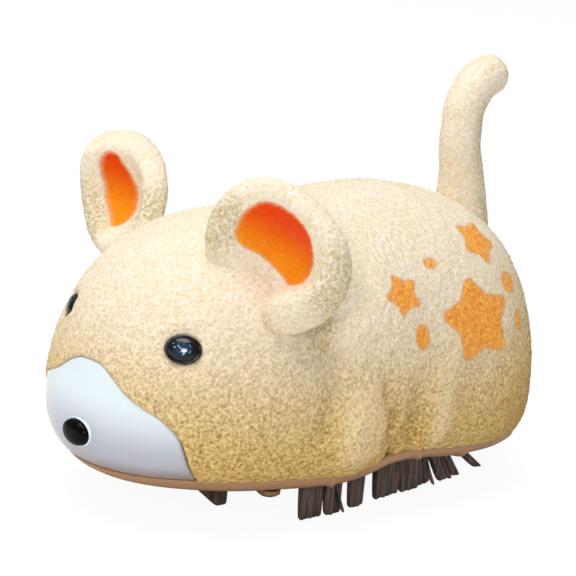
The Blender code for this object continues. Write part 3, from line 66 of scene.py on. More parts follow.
# Round the body from the nose: heights of the pile's edge and of the chassis hem, as shares of the height
NAP_ANGLES = (0, 20, 45, 60, 76, 84, 92, 100, 110, 122, 136, 150, 180)
NAPS = (.170, .177, .183, .181, .173, .195, .225, .233, .225, .204, .183, .173, .166)
HEMS = (.125, .116, .125, .125, .116, .129, .179, .187, .181, .158, .139, .133, .133)

# Half of the mask's edge, and the places and half sizes of the nose and the eyes; an eye's last value is
# its rise
MASK_BEARINGS = (0, 3, 6, 9, 12.5, 16.5, 19.5, 22.4, 25, 26.3)
MASK_LIFTS = (14.1, 13.9, 12.8, 11.0, 8.9, 7.4, 6.2, 4.4, 1.3, -5)
MASK_CORNER = 26.6
EYES = {1: (21.7, 21.0, 0), -1: (19.6, 21.2, -.7)}
NOSE_BEARING, NOSE_LIFT = .6, -1.5
NOSE_SIZE, EYE_SIZE, SOCKET_SIZE = (2.85, 2.0), (2.85, 2.2), (2.95, 2.3)
DOME_COLUMNS = 64

# Walls, how far what is hidden lies under the skin, and the relief of the pile's tips
SHELL_WALL, MASK_WALL, SUNK_DEPTH = 1.8, 1.9, 1.2
BODY_RELIEF, EAR_RELIEF, TAIL_RELIEF = .42, .32, .24

# Painted shade: the pile deepens in tone from the upper to the lower height, and more so at the rear
PAINTED_SHADE_LOW, PAINTED_SHADE_HIGH, PAINTED_SHADE_MOST = 4, 44.5, 1.35

# Orange spots: bearing, lift, half width, half height, turn of a star or None for a plain dot
SPOTS = ((147.1, 42.8, 4.5, 4.2, 51), (95.5, 44.1, 3.8, 3.5, 36), (128.2, 27.9, 8.7, 7.0, 22),
         (118.8, 49.1, 1.2, .8, None), (100.7, 30.6, 1.45, 1.85, None), (146.1, 30.1, 1.9, 1.7, None),
         (144.1, 21.0, 1.1, 1.6, None))

# The ears' common place, the way they face and the way they lean
EAR_CENTRE = (19, -21.1, 44.5)
EAR_FACING = (.28, -.90, .33)
EAR_LEAN = (.65, .40, .65)

# Each ear as photographed: shift of its centre, half sizes ahead and behind along each of its two ways,
# the angle of its curled lobe, the crest's height, what the lobe adds to it, and the slant of the disc
EAR_SHAPES = {1: ((1.3, -1.2, -.6), (10.1, 13.1), (10.5, 12), -28, 2.5, 1.7, -.35),
              -1: ((0, -.5, -.8), (9.3, 7.9), (12.1, 10.6), 76, 2.6, 4.8, .12)}
EAR_FLOOR, EAR_BACK, EAR_ROOT_ANGLE = -1.8, -2.9, 277

# Inside each ear, across and along it: corners of the orange patch, then shaded places with radius and
# strength, then the way in which the patch turns from orange to red
PATCHES = {1: ((3.5, 1), (2.4, 3.3), (.8, 5), (-1.1, 6.1), (-3.6, 6.2), (-6.5, 4.9), (-8.3, 2.8),
               (-8.5, -.5), (-7.1, -3.3), (-5.8, -4), (-4.7, -3.7), (-3.4, -2.9), (-1.4, -2.4), (.4, -2),
               (2.6, -1.3)),
           -1: ((3.4, -3.2), (4.4, -2.3), (4.2, 1.6), (2.5, 4.2), (.4, 6), (-1.4, 6.7), (-2.2, 6),
                (-1.5, 4.7), (-.2, 3.2), (1.3, 1.3), (2, -.6))}
EAR_SHADES = {1: ((-9, -6.5, 4, 1), (-10, -2, 3, .5), (9, 4, 4.5, .8), (6, 9.5, 4.5, .8), (6, -9.5, 4, .9)),
              -1: ((8, 3, 4, 1), (7, -2, 3, .8), (-5, -5, 4.2, .9))}
EMBER_WAYS = {1: (-.5, .87), -1: (-.67, .74)}

# The tail's middle line: how far back, how high, and its radius there; its rows and columns, and the side
# given painted shade
TAIL_PATH = ((31.5, 30.5, 3.6), (34.2, 35, 4.6), (35.5, 39.5, 4.9), (35.3, 44, 4.3), (34.6, 49, 3.7),
             (33.6, 54, 3.45), (33.6, 58.6, 3.4), (34.8, 61.8, 3.45), (36.6, 64, 3.5), (38.7, 64.9, 3.4))
TAIL_ROWS, TIP_ROWS, TAIL_COLUMNS = 92, 10, 88
SHADED_SIDE = (.68, .73, 0)

# Blades of each foot: where the root and the tip start and end as shares of the foot's length, the tip's
# height as a share of the foot's, and how far it bends outwards; narrow ones are loose strips
FRONT_BLADES = ((.04, .36, .05, .34, 0, .3), (.35, .48, .37, .47, .01, .3), (.47, .62, .49, .61, 0, .3),
                (.70, .92, .71, .90, .08, .3), (.36, .39, .50, .53, .01, 1.1),
                (.44, .47, .58, .61, .03, 1.0))
REAR_BLADES = ((-.03, .22, -.01, .22, .10, .2), (.19, .38, .23, .40, .13, .4),
               (.37, .52, .42, .55, .17, .5), (.50, .57, .62, .70, .18, .7), (.56, .63, .71, .79, .14, .7),
               (.62, .68, .77, .84, .20, .8), (.74, .82, 1.05, 1.14, .20, .5),
               (.46, .48, .56, .58, .10, .9))
FEET = (("front", (17.8, -12.8), (17.8, 2.4), FRONT_BLADES),
        ("rear", (17.6, 4.6), (14.7, 28.6), REAR_BLADES))
FOOT_TOP, FOOT_REACH, STRIP_WIDTH = 7.2, 6.3, .95

# The photograph's view in degrees and metres, and its lens in pixels
VIEW_TURN, VIEW_RISE, VIEW_ROLL = 47.088, 14.457, 5.399
VIEW_TARGET, VIEW_DISTANCE = (-.000336, -.000770, .032026), .43284
FOCAL_PIXELS, PHOTO_PIXELS, SENSOR_WIDTH = 2689.56, 576, 36

# Lamps: name, place and size in metres, and power; the strengths of the surroundings as seen and as light
LAMPS = (("top_box", (-.02, -.10, .60), .40, 2.55), ("front_box", (.37, -.50, .28), .13, 1.20),
         ("left_glint", (-.125, -.362, .35), .05, .16))
LAMPS_AIM, FLOOR_SIDE, FLOOR_GLOW, FLOOR_SHARE = (0, 0, .03), 3.0, 1.045, .90
SKY_SEEN, SKY_LIGHT = 1.0, .37


def table(at, places, values):
    """Monotone cubic through a table: harmonic slopes, then a Hermite blend inside each interval."""
    places, values = np.asarray(places, float), np.asarray(values, float)
    steps, rises = np.diff(places), np.diff(values) / np.diff(places)
    before, after = 2 * steps[1:] + steps[:-1], steps[1:] + 2 * steps[:-1]
    alike = rises[:-1] * rises[1:] > 0
    safe = np.where(alike[:, None], np.stack([rises[:-1], rises[1:]], 1), 1)
    inner = np.where(alike, (before + after) / (before / safe[:, 0] + after / safe[:, 1]), 0)
    slopes = np.concatenate([rises[:1], inner, rises[-1:]])
    at = np.clip(at, places[0], places[-1])
    k = np.clip(np.searchsorted(places, at) - 1, 0, len(places) - 2)
    step = places[k + 1] - places[k]
    t = (at - places[k]) / step
    return (values[k] * (1 + 2 * t) * (1 - t) ** 2 + values[k + 1] * t * t * (3 - 2 * t)
            + step * (slopes[k] * t * (1 - t) ** 2 - slopes[k + 1] * t * t * (1 - t)))


def ease(value, low, high):
    """From 0 to 1 between two values, eased at both ends."""
    t = np.clip((value - low) / (high - low), 0, 1)
    return t * t * (3 - 2 * t)


def unit(vectors):
    """Vectors over their own lengths."""
    return vectors / np.maximum(np.linalg.norm(vectors, axis=-1, keepdims=True), 1e-9)


def headings(bearing, lift):
    """Unit directions from the core: bearing turns from the nose, lift rises from level."""
    turn, rise = np.radians(bearing), np.radians(lift)
    return np.stack([np.cos(rise) * np.sin(turn), -np.cos(rise) * np.cos(turn), np.sin(rise)], -1)


def outside(points):
    """Below zero inside the body: powers of the shares of a section's half width and height, summed."""
    half = LENGTH / 2
    station = np.arccos(np.clip(-points[..., 1] / half, -1, 1)) / math.pi
    width = np.maximum(table(station, STATIONS, WIDTHS) * WIDTH / 2, .05)
    crown, keel = table(station, STATIONS, CROWNS) * HEIGHT, table(station, STATIONS, KEELS) * HEIGHT
    waist = keel + .34 * (crown - keel)
    up = points[..., 2] > waist
    height = np.maximum(np.where(up, crown - waist, waist - keel), .05)
    across = (np.abs(points[..., 0]) / width) ** 2.25
    upward = (np.abs(points[..., 2] - waist) / height) ** np.where(up, 2.1, 2.3)
    beyond = np.maximum(np.abs(points[..., 1]) - half, 0) * 20
    return np.minimum(across + upward, 2000) - 1 + beyond


def bells(bearing, lift, swells):
    """Sum of bell curves in bearing and lift, the same on both sides."""
    side = np.abs((np.asarray(bearing) + 180) % 360 - 180)
    return sum(size * np.exp(-((side - middle) / half_turn) ** 2 - ((lift - height) / half_rise) ** 2)
               for middle, height, half_turn, half_rise, size in swells)


def skin(bearing, lift, extra=()):
    """Points on the skin: the distance along each heading by halving, and the swells added to it."""
    heading = headings(bearing, lift)
    low, high = np.zeros(heading.shape[:-1]), np.full(heading.shape[:-1], LENGTH)
    for _ in range(24):
        middle = (low + high) / 2
        within = outside((0, 0, CORE) + heading * middle[..., None]) < 0
        low, high = np.where(within, middle, low), np.where(within, high, middle)
    distance = (low + high) / 2 + bells(bearing, lift, (*SWELLS, *extra))
    return (0, 0, CORE) + heading * distance[..., None]


def seat(bearing, lift):
    """Origin, side, up and outward directions at a place on the skin."""
    near = skin(bearing + np.array([0, 1, -1, 0, 0]), lift + np.array([0, 0, 0, 1, -1]))
    out = unit(np.cross(near[1] - near[2], near[3] - near[4]))
    side = unit(np.cross((0, 0, 1), out))
    return near[0], side, np.cross(out, side), out


def lift_at(bearing, height):
    """Lift of the lower skin at a height, by halving."""
    low, high = np.full(np.shape(bearing), -62.0), np.full(np.shape(bearing), 12.0)
    for _ in range(18):
        middle = (low + high) / 2
        below = skin(bearing, middle)[..., 2] < height
        low, high = np.where(below, middle, low), np.where(below, high, middle)
    return (low + high) / 2


def rim_height(bearing, shares):
    """Height of an edge round the body, read from its shares of the body's height."""
    return table(np.abs((bearing + 180) % 360 - 180), NAP_ANGLES, shares) * HEIGHT


def mask_edge(count):
    """Bearing and lift along half of the mask's edge, from its peak to its lower corner."""
    corner = lift_at(np.array([MASK_CORNER]), rim_height(np.array([MASK_CORNER]), NAPS))[0]
    bearings, lifts = (*MASK_BEARINGS, MASK_CORNER), (*MASK_LIFTS, corner)
    run = np.concatenate([[0], np.cumsum(np.hypot(np.diff(bearings), np.diff(lifts)))])
    at = np.linspace(0, run[-1], count)
    return table(at, run, bearings), table(at, run, lifts)


def even_steps(bearings, lifts, count):
    """The same line on the skin, read again at even steps of its real length."""
    run = np.concatenate([[0], np.cumsum(np.linalg.norm(np.diff(skin(bearings, lifts), axis=0), axis=1))])
    at = np.linspace(0, run[-1], count)
    return np.interp(at, run, bearings), np.interp(at, run, lifts)


def grain(points, size, seed):
    """Smooth noise from 0 to 1: random values on a lattice of that spacing, blended between its corners."""
    values = np.random.default_rng(seed).random((48, 48, 48))
    place = points / size
    base = np.floor(place).astype(int)
    part = place - base
    part = part * part * (3 - 2 * part)
    total = 0
    for corner in np.ndindex(2, 2, 2):
        share = np.prod(np.where(corner, part, 1 - part), axis=-1)
        x, y, z = np.moveaxis((base + corner) % 48, -1, 0)
        total = total + share * values[x, y, z]
    return total


def tufts(points, outward, seed):
    """Height of the pile from 0 to 1: two sizes of grain, the larger bent by a third, as matted tips."""
    bend = grain(points, 1.7, seed + 2)[..., None] * outward * .8
    coarse = grain(points * (1, 1, .8) + bend, .62, seed)
    fine = grain(points, .40, seed + 1)
    return np.clip(.62 * coarse + .38 * fine, 0, 1)


def ring_normals(rings):
    """Outward normals of rings of points, from the neighbours along each ring and between rings."""
    around = np.roll(rings, -1, 1) - np.roll(rings, 1, 1)
    return unit(np.cross(around, np.gradient(rings, axis=0)))


def closed(rings, start, end):
    """Points and faces of rings that are closed by a pole at each end."""
    rows, columns = rings.shape[:2]
    row, column = np.meshgrid(np.arange(rows - 1), np.arange(columns), indexing="ij")
    here, beside = row * columns + column, row * columns + (column + 1) % columns
    quads = np.stack([here, beside, beside + columns, here + columns], -1).reshape(-1, 4)
    each = np.arange(columns)
    last = (rows - 1) * columns
    first_fan = np.stack([np.full(columns, rows * columns), (each + 1) % columns, each], -1)
    end_pole = np.full(columns, rows * columns + 1)
    last_fan = np.stack([end_pole, last + each, last + (each + 1) % columns], -1)
    points = np.concatenate([rings.reshape(-1, 3), [start, end]])
    return points, [quads, np.concatenate([first_fan, last_fan])]


def piece(name, forms, finish, stands_for=(), body="toy", values=None):
    """One mesh of closed forms in millimetres, turned outwards, with its values kept per point."""
    points, faces, count = [], [], 0
    for form_points, form_faces in forms:
        points.append(form_points)
        faces += [(group + count).tolist() for group in form_faces]
        count += len(form_points)
    placed = (np.concatenate(points) + (0, SETBACK, 0)) * .001
    mesh = bpy.data.meshes.new(name)
    mesh.from_pydata(placed.tolist(), [], [face for group in faces for face in group])
    mesh.polygons.foreach_set("use_smooth", np.ones(len(mesh.polygons), bool))
    for label, numbers in (values or {}).items():
        layer = mesh.attributes.new(label, "FLOAT", "POINT")
        layer.data.foreach_set("value", np.asarray(numbers, np.float32).ravel())
    mesh.materials.append(finish)
    mesh.update()
    made = bpy.data.objects.new(name, mesh)
    bpy.context.scene.collection.objects.link(made)
    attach(made, body)
    if stands_for:
        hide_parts(*stands_for)
    return made


def paint(red, green, blue):
    """A colour as it is seen, from 0 to 255, as the linear colour that Blender takes."""
    seen = np.array([red, green, blue]) / 255
    linear = np.where(seen <= .04045, seen / 12.92, ((seen + .055) / 1.055) ** 2.4)
    return (*(float(v) for v in linear), 1.0)


class Wire:
    """A node's output. Sums on wires add Math nodes."""

    def __init__(self, finish, port):
        """A wire keeps its finish and the node's output."""
        self.finish, self.port = finish, port

    def math(self, operation, *values):
        """A Math node with these values in its sockets, in order."""
        return self.finish.node("ShaderNodeMath", {"operation": operation}, dict(enumerate(values)))

    def __add__(self, other):
        """This plus the other."""
        return self.math("ADD", self, other)

    def __mul__(self, other):
        """This times the other."""
        return self.math("MULTIPLY", self, other)

    def __sub__(self, other):
        """This less the other."""
        return self.math("SUBTRACT", self, other)

    def __rsub__(self, other):
        """The other less this."""
        return self.math("SUBTRACT", other, self)

    def __abs__(self):
        """This without its sign."""
        return self.math("ABSOLUTE", self)

    __radd__, __rmul__ = __add__, __mul__

    def step(self, low, high):
        """From 0 to 1 between two values, eased at both ends."""
        return self.finish.node("ShaderNodeMapRange", {"interpolation_type": "SMOOTHSTEP"},
                                {"Value": self, "From Min": low, "From Max": high})


class Finish:
    """One material, or the world. A node comes from its type, its settings and its sockets' inputs."""

    def __init__(self, name, owner=None):
        """A new material, or an owner that has a node tree, with its nodes cleared."""
        self.material = owner or bpy.data.materials.new(name)
        self.material.use_nodes = True
        self.tree = self.material.node_tree
        self.tree.nodes.clear()

    def node(self, kind, settings=None, inputs=None, output=0):
        """A node: the settings first, then a link for each wire and a value for each other input."""
        made = self.tree.nodes.new(kind)
        for label, value in (settings or {}).items():
            setattr(made, label, value)
        for label, value in (inputs or {}).items():
            if isinstance(value, Wire):
                self.tree.links.new(value.port, made.inputs[label])
            else:
                made.inputs[label].default_value = value
        return Wire(self, made.outputs[output])

    def place(self):
        """Place on the object."""
        return self.node("ShaderNodeTexCoord", output="Object")

    def value(self, label):
        """A value kept per point of the mesh."""
        return self.node("ShaderNodeAttribute", {"attribute_name": label}, output="Fac")

    def noise(self, where, scale, detail=2.0, rough=.5):
        """Noise about one half."""
        return self.node("ShaderNodeTexNoise", {}, {"Vector": where, "Scale": scale, "Detail": detail,
                                                    "Roughness": rough}, "Fac")

    def stretched(self, where, scales):
        """Places scaled along each axis."""
        return self.node("ShaderNodeMapping", {}, {"Vector": where, "Scale": scales})

    def mix(self, share, first, second):
        """The second colour over the first by a share."""
        return self.node("ShaderNodeMix", {"data_type": "RGBA", "blend_type": "MIX"},
                         {0: share, 6: first, 7: second}, 2)

    def bump(self, height, distance, strength):
        """A normal raised by a height."""
        return self.node("ShaderNodeBump", {},
                         {"Height": height, "Distance": distance, "Strength": strength})

    def done(self, **inputs):
        """The Principled shader with these inputs, on the material's output."""
        names = {label.replace("_", " "): value for label, value in inputs.items()}
        return self.close(self.node("ShaderNodeBsdfPrincipled", {}, names, "BSDF"))

    def close(self, shader, kind="ShaderNodeOutputMaterial"):
        """The shader on its output node."""
        end = self.tree.nodes.new(kind)
        self.tree.links.new(shader.port, end.inputs["Surface"])
        return self.material


def flocked():
    """Cream pile: pale tips over warm roots in painted shade, painted shade deepening towards the belly,
    and soft orange spots; painted shade in creases, painted highlight on swellings.
    """
    f = Finish("flocked_pile")
    where = f.place()
    tip, depth, spot, ember, fold = (f.value(label) for label in ("tip", "depth", "spot", "ember", "fold"))
    fine, wave = f.noise(where, 1750, 3, .7), f.noise(where, 1350, 1.5, .5)
    stroke = (1 - abs(wave - .5) * 5.5).step(0, 1)
    patchy = f.noise(where, 150, 2, .5)
    # Painted shade: tips and roots darken and warm with depth; the roots stand for shade between the tufts,
    # lit for the light on the tips
    pale = f.mix(depth.step(-.05, .95), paint(252, 241, 230), paint(248, 215, 138))
    root = f.mix(depth.step(-.15, 1), paint(232, 213, 168), paint(134, 94, 18))
    lit = stroke * .34 + fine.step(.36, .64) * .56 + tip * .12
    cream = f.mix(lit, root, pale)
    cream = f.mix(patchy.step(.35, .7) * .10, cream, paint(214, 186, 132))
    # More painted shade, strongest low at the rear
    cream = f.mix(depth.step(.70, 1.35) * .55, cream, paint(166, 112, 40))
    # Painted shade in creases and at the ears' and tail's shaded places, then painted highlight on the
    # swellings
    shade = f.mix(depth, paint(176, 156, 92), paint(158, 116, 44))
    cream = f.mix(fold.step(.05, .9) * (1 - lit * .9) * .84, cream, shade)
    cream = f.mix(fold.step(-.10, -.85) * (lit * .4 + .20), cream, paint(249, 230, 188))
    warm = f.mix(ember, paint(252, 152, 22), paint(236, 58, 0))
    warm = f.mix(f.value("printed"), warm, f.mix(lit, paint(250, 136, 26), paint(255, 198, 94)))
    # Painted shade between the tufts of the orange
    warm = f.mix((1 - lit) * .35, warm, paint(206, 96, 14))
    edge = (spot + (fine - .5) * .9).step(.05, .95)
    colour = f.mix(edge, cream, warm)
    colour = f.mix((1 - abs(edge * 2 - 1)) * .6, colour, paint(220, 134, 44))
    return f.done(Base_Color=colour, Roughness=.95, Normal=f.bump(lit, .00016, .7), Specular_IOR_Level=.12,
                  Sheen_Weight=.15, Sheen_Roughness=.45, Sheen_Tint=paint(255, 244, 220))


def glazed_mask():
    """Polished cool white, a little lavender in painted shade lower down, and browner along its lower edge
    in a painted reflection.
    """
    f = Finish("polished_muzzle")
    where = f.place()
    low = f.value("low")
    haze = f.noise(where, 60, 2)
    # Painted shade lower down
    colour = f.mix(low.step(.0, .95), paint(226, 237, 242), paint(170, 171, 182))
    # Painted reflection of the brown below, along the lower edge
    colour = f.mix(low.step(.84, 1.02) * .85, colour, paint(142, 118, 100))
    return f.done(Base_Color=colour, Roughness=.16 + haze * .06, Normal=f.bump(haze, .00004, .4),
                  Coat_Weight=.45, Coat_Roughness=.05)


def moulded(name, colour, darker, rough=.45, scale=900, depth=.00003):
    """Moulded plastic or rubber: one colour with a fine uneven grain in shade, gloss and surface."""
    f = Finish(name)
    where = f.place()
    fine, broad = f.noise(where, scale, 3), f.noise(where, scale / 9, 2)
    shade = f.mix((broad.step(.3, .7)) * .5 + (fine * .5), colour, darker)
    return f.done(Base_Color=shade, Roughness=rough + (fine - .5) * .18, Normal=f.bump(fine, depth, .6))


def metal(name, colour, rough, marks):
    """Plated or pressed metal: fine lines along one axis in its gloss, and a faint tarnish."""
    f = Finish(name)
    where = f.place()
    lines = f.noise(f.stretched(where, marks), 1.0, 3)
    tarnish = f.noise(where, 500, 2)
    shade = f.mix(tarnish.step(.4, .8) * .35, colour, tuple(v * .6 for v in colour[:3]) + (1.0,))
    return f.done(Base_Color=shade, Metallic=1.0, Roughness=rough + (lines - .5) * .25,
                  Normal=f.bump(lines, .00001, .5))


def glossy_black(name):
    """Polished black, with the faintest haze in its shade and gloss."""
    f = Finish(name)
    haze = f.noise(f.place(), 400, 2)
    return f.done(Base_Color=f.mix(haze, paint(2, 2, 3), paint(8, 7, 8)), Roughness=.10 + haze * .05,
                  Specular_IOR_Level=.09)


def eye_gloss():
    """Domed eye: black bezel, a dark blue-grey heart that shows through its gloss, and painted glints on
    the heart.
    """
    f = Finish("domed_eye")
    haze = f.noise(f.place(), 900, 3)
    heart = f.value("heart")
    colour = f.mix((heart + (haze - .5) * .5).step(.30, .95), paint(5, 5, 6), paint(22, 54, 78))
    # Painted glints: pale flecks over the heart
    painted_glints = f.noise(f.place(), 1900, 2).step(.55, .64) * heart.step(.45, .85)
    colour = f.mix(painted_glints, colour, paint(176, 202, 214))
    return f.done(Base_Color=colour, Roughness=.08 + haze * .06, Specular_IOR_Level=.40,
                  Normal=f.bump(f.noise(f.place(), 420, 1), .00025, .6))


def streaked_rubber():
    """Dark rubber with streaks down each blade, worn to a reddish brown here and there."""
    f = Finish("foot_rubber")
    streak = f.noise(f.stretched(f.place(), (1500, 1500, 130)), 1.0, 3, .6)
    colour = f.mix(streak.step(.30, .72), paint(58, 44, 38), paint(114, 96, 86))
    colour = f.mix(streak.step(.62, .80) * .6, colour, paint(128, 84, 64))
    return f.done(Base_Color=colour, Roughness=.52 + streak * .12, Normal=f.bump(streak, .00008, .7))


def hem_plastic():
    """Soft tan band: pinkish above, browner below, with a fine grain."""
    f = Finish("hem_plastic")
    low, fine = f.value("low"), f.noise(f.place(), 700, 3)
    colour = f.mix((low + (fine - .5) * .3).step(.25, .85), paint(170, 128, 90), paint(120, 84, 54))
    return f.done(Base_Color=colour, Roughness=.48 + fine * .1, Normal=f.bump(fine, .00005, .6))


FLOCK = flocked()
MASK = glazed_mask()
RUBBER = streaked_rubber()
HEM = hem_plastic()


def shade_values(points, tip, **more):
    """Values the pile's material reads, nought unless given; depth, which sets painted shade, is one less
    the eased height plus the rear's share.
    """
    values = {label: np.zeros(points.shape[:-1]) for label in ("spot", "ember", "fold", "printed", "rear")}
    values.update(more, tip=tip)
    low = 1 - ease(points[..., 2], PAINTED_SHADE_LOW, PAINTED_SHADE_HIGH)
    values["depth"] = np.clip(low + values.pop("rear"), 0, PAINTED_SHADE_MOST)
    return {label: np.append(layer, [layer.ravel()[0], layer.ravel()[-1]])
            for label, layer in values.items()}


def star_reach(degrees):
    """Reach of a star with straight edges, at an angle from its nearest tip; its tips are blunt."""
    inner, fifth, off = .59, math.radians(36), np.radians(degrees)
    reach = inner * math.sin(fifth) / (inner * math.sin(fifth) * np.cos(off)
                                       + (1 - inner * math.cos(fifth)) * np.sin(off))
    return np.minimum(reach, .88) * 1.08


def spots_on(points):
    """Share inside each orange spot: a dot's ellipse, or a star of five straight-edged arms."""
    total = np.full(points.shape[:-1], -2.0)
    for bearing, lift, half_width, half_height, turn in SPOTS:
        for mirror in (1, -1):
            origin, side, up, out = seat(bearing * mirror, lift)
            offset = points - origin
            u, v = offset @ side * mirror / half_width, offset @ up / half_height
            away, size = np.hypot(u, v), 1.0
            if turn is not None:
                from_tip = (np.degrees(np.arctan2(v, u)) - turn + 36) % 72 - 36
                size = star_reach(np.abs(from_tip))
            total = np.maximum(total, np.where(np.abs(offset @ out) < 6, (size - away) * half_height, -2))
    return ease(total, -.8, .8)


def body_pile():
    """Shell: rows climb from the rolled lower edge to the crown and back down as an inner wall."""
    columns, rows = 568, 148
    bearings, lifts = mask_edge(160)
    sides = np.linspace(MASK_CORNER, 180, 500)[1:]
    bearings = np.concatenate([bearings, sides])
    lifts = np.concatenate([lifts, lift_at(sides, rim_height(sides, NAPS))])
    bearings, lifts = even_steps(bearings, lifts, columns // 2 + 1)
    around = np.concatenate([bearings, 360 - bearings[-2:0:-1]])
    edge = np.concatenate([lifts, lifts[-2:0:-1]]) + .2
    even = np.arange(columns) * 360 / columns
    share = (np.linspace(0, 1, rows + 1)[:-1] ** 1.12)[:, None]
    bearing = around + (even - around) * share
    lift = edge + (90 - edge) * share
    rings = skin(bearing, lift, CREASES)
    normals = ring_normals(rings)
    for turn, (eye_bearing, eye_lift, _) in EYES.items():
        origin, side, up, out = seat(eye_bearing * turn, eye_lift)
        offset = rings - origin
        away = np.hypot(offset @ side / SOCKET_SIZE[0], offset @ up / SOCKET_SIZE[1])
        near = np.abs(offset @ out) < 5
        hollow = 1.2 * (1 - ease(away, .85, 1.05)) + .3 * np.exp(-((away - 1.15) / .22) ** 2)
        rings = rings - normals * (near * hollow)[..., None]
    tip = tufts(rings, normals, 11)
    pile = rings + normals * ((tip - .5) * BODY_RELIEF)[..., None]
    down = unit(rings[0] - rings[2])
    angles = np.radians([30, 60, 90, 130, 170])[:, None, None]
    reach = .55 + .5 * (tufts(rings[0], normals[0], 23)[None, :, None] - .5)
    roll = pile[0] + down * reach * np.sin(angles) - normals[0] * .75 * (1 - np.cos(angles))
    inner_share = np.linspace(0, 1, 11)[:-1, None]
    inner = skin(around + (even - around) * inner_share, edge + (90 - edge) * inner_share)
    inner = inner - ring_normals(inner) * SHELL_WALL
    rings = np.concatenate([inner[::-1], roll[::-1], pile])
    top = skin(np.array([0.0]), np.array([89.9]))[0]
    tips = np.concatenate([np.full((len(inner) + len(roll), columns), .3), tip])
    # Painted shade in the creases and painted highlight on the swellings
    fold = np.zeros(tips.shape)
    fold[-rows:] = -bells(bearing, lift, CREASES)
    spot = spots_on(rings)
    # More painted shade low at the rear, added to depth
    rear = .42 * ease(rings[..., 1], 18, 44) * (1 - ease(rings[..., 2], 34, 47))
    values = shade_values(rings, tips, spot=spot, fold=fold, printed=np.ones(tips.shape), rear=rear)
    form = closed(rings, top - (0, 0, SHELL_WALL), top)
    return piece("pile_shell", [form], FLOCK, ("body_shell",), values=values)


def ear_axes(turn):
    """Centre of an ear, and its ways across, along its lean and to its front, mirrored by the turn."""
    lean = unit(np.array(EAR_LEAN, float))
    facing = np.array(EAR_FACING, float)
    facing = unit(facing - lean * (facing @ lean))
    mirror = np.array([turn, 1, 1])
    return np.array(EAR_CENTRE) * mirror, np.cross(lean, facing) * mirror, lean * mirror, facing * mirror


def smooth_loop(corners, parts=8):
    """Closed curve through the corners: a cubic between each two, with slopes from their neighbours."""
    here = np.array(corners, float)
    before, ahead, beyond = np.roll(here, 1, 0), np.roll(here, -1, 0), np.roll(here, -2, 0)
    t = (np.arange(parts) / parts)[:, None, None]
    curve = .5 * (2 * here + (ahead - before) * t + (2 * before - 5 * here + 4 * ahead - beyond) * t ** 2
                  + (3 * here - before - 3 * ahead + beyond) * t ** 3)
    return curve.transpose(1, 0, 2).reshape(-1, 2)


def within(u, v, loop):
    """Distance to a loop, above zero inside it: the nearest edge, and the count of edges to one side."""
    nearest, inside = np.full(u.shape, 99.0), np.zeros(u.shape, bool)
    for (x0, y0), (x1, y1) in zip(loop, np.roll(loop, -1, 0)):
        dx, dy = x1 - x0, y1 - y0
        t = np.clip(((u - x0) * dx + (v - y0) * dy) / (dx * dx + dy * dy), 0, 1)
        nearest = np.minimum(nearest, np.hypot(u - x0 - t * dx, v - y0 - t * dy))
        inside ^= ((y0 > v) != (y1 > v)) & (u < x0 + (v - y0) * dx / (dy if dy else 1e-9))
    return np.where(inside, nearest, -nearest)


def pile_ear(turn, word):
    """Ear: a dish eased up to a quarter-round crest, higher at its lobe, and a domed back, sunk in."""
    columns, dish_rows, roll_rows, back_rows = 300, 60, 26, 34
    shift, wide, tall, lobe_angle, crest, lobe_gain, slant = EAR_SHAPES[turn]
    centre, across, lean, facing = ear_axes(turn)
    centre = centre + across * shift[0] + lean * shift[1] + facing * shift[2]
    angle = np.arange(columns) * 2 * math.pi / columns
    off = (np.degrees(angle) - lobe_angle + 180) % 360 - 180
    lobe = np.exp(-(off / 60) ** 2)
    root = np.exp(-(((np.degrees(angle) - EAR_ROOT_ANGLE + 180) % 360 - 180) / 30) ** 2) * (turn > 0)
    ledge, height, equator = .80 - .16 * lobe, crest + lobe_gain * lobe, .2 + .6 * lobe_gain * lobe
    height, equator = height - (height + 2) * root, equator - (equator + 2.2) * root
    out = np.linspace(.02, 1, dish_rows)[:, None] * ledge
    dish = EAR_FLOOR + (height - EAR_FLOOR) * ease(out, ledge * .18, ledge)
    swing = np.radians(np.linspace(0, 90, roll_rows + 1)[1:])[:, None]
    roll_out = ledge + (1 - ledge) * np.sin(swing)
    roll = equator + (height - equator) * np.cos(swing)
    fall = np.radians(np.linspace(0, 87, back_rows + 1)[1:])[:, None]
    back_out = np.cos(fall) * np.ones(columns)
    back = equator - (equator - EAR_BACK) * np.sin(fall)
    share = np.concatenate([out, roll_out, back_out])
    u = share * np.where(np.cos(angle) > 0, *wide) * np.cos(angle)
    v = share * np.where(np.sin(angle) > 0, *tall) * np.sin(angle)
    forward = np.concatenate([dish, roll, back]) + slant * u
    rings = centre + across * u[..., None] + lean * v[..., None] + facing * forward[..., None]
    normals = ring_normals(rings) * turn
    tip = tufts(rings, normals, 31 + turn)
    front = np.arange(len(rings))[:, None] < dish_rows
    spot = np.where(front, ease(within(u, v, smooth_loop(PATCHES[turn])), -.55, .55), 0)
    # Painted shade at the ear's shaded places
    fold = sum(size * np.exp(-((u - a) ** 2 + (v - b) ** 2) / r ** 2) for a, b, r, size in EAR_SHADES[turn])
    middle, way = np.mean(PATCHES[turn], 0), EMBER_WAYS[turn]
    ember = ease((u - middle[0]) * way[0] + (v - middle[1]) * way[1], -3.2, 4.4)
    rings = sunk(rings + normals * ((tip - .5) * EAR_RELIEF)[..., None], SUNK_DEPTH)
    form = closed(rings, centre + facing * EAR_FLOOR, centre + facing * EAR_BACK)
    form = inside_out(form) if turn > 0 else form
    values = shade_values(rings, tip, spot=spot, ember=ember, fold=fold)
    return piece("pile_ear_" + word, [form], FLOCK, ("ear_" + word,), values=values)


def inside_out(form):
    """A form whose faces are read the other way round."""
    points, faces = form
    return points, [group[:, ::-1] for group in faces]


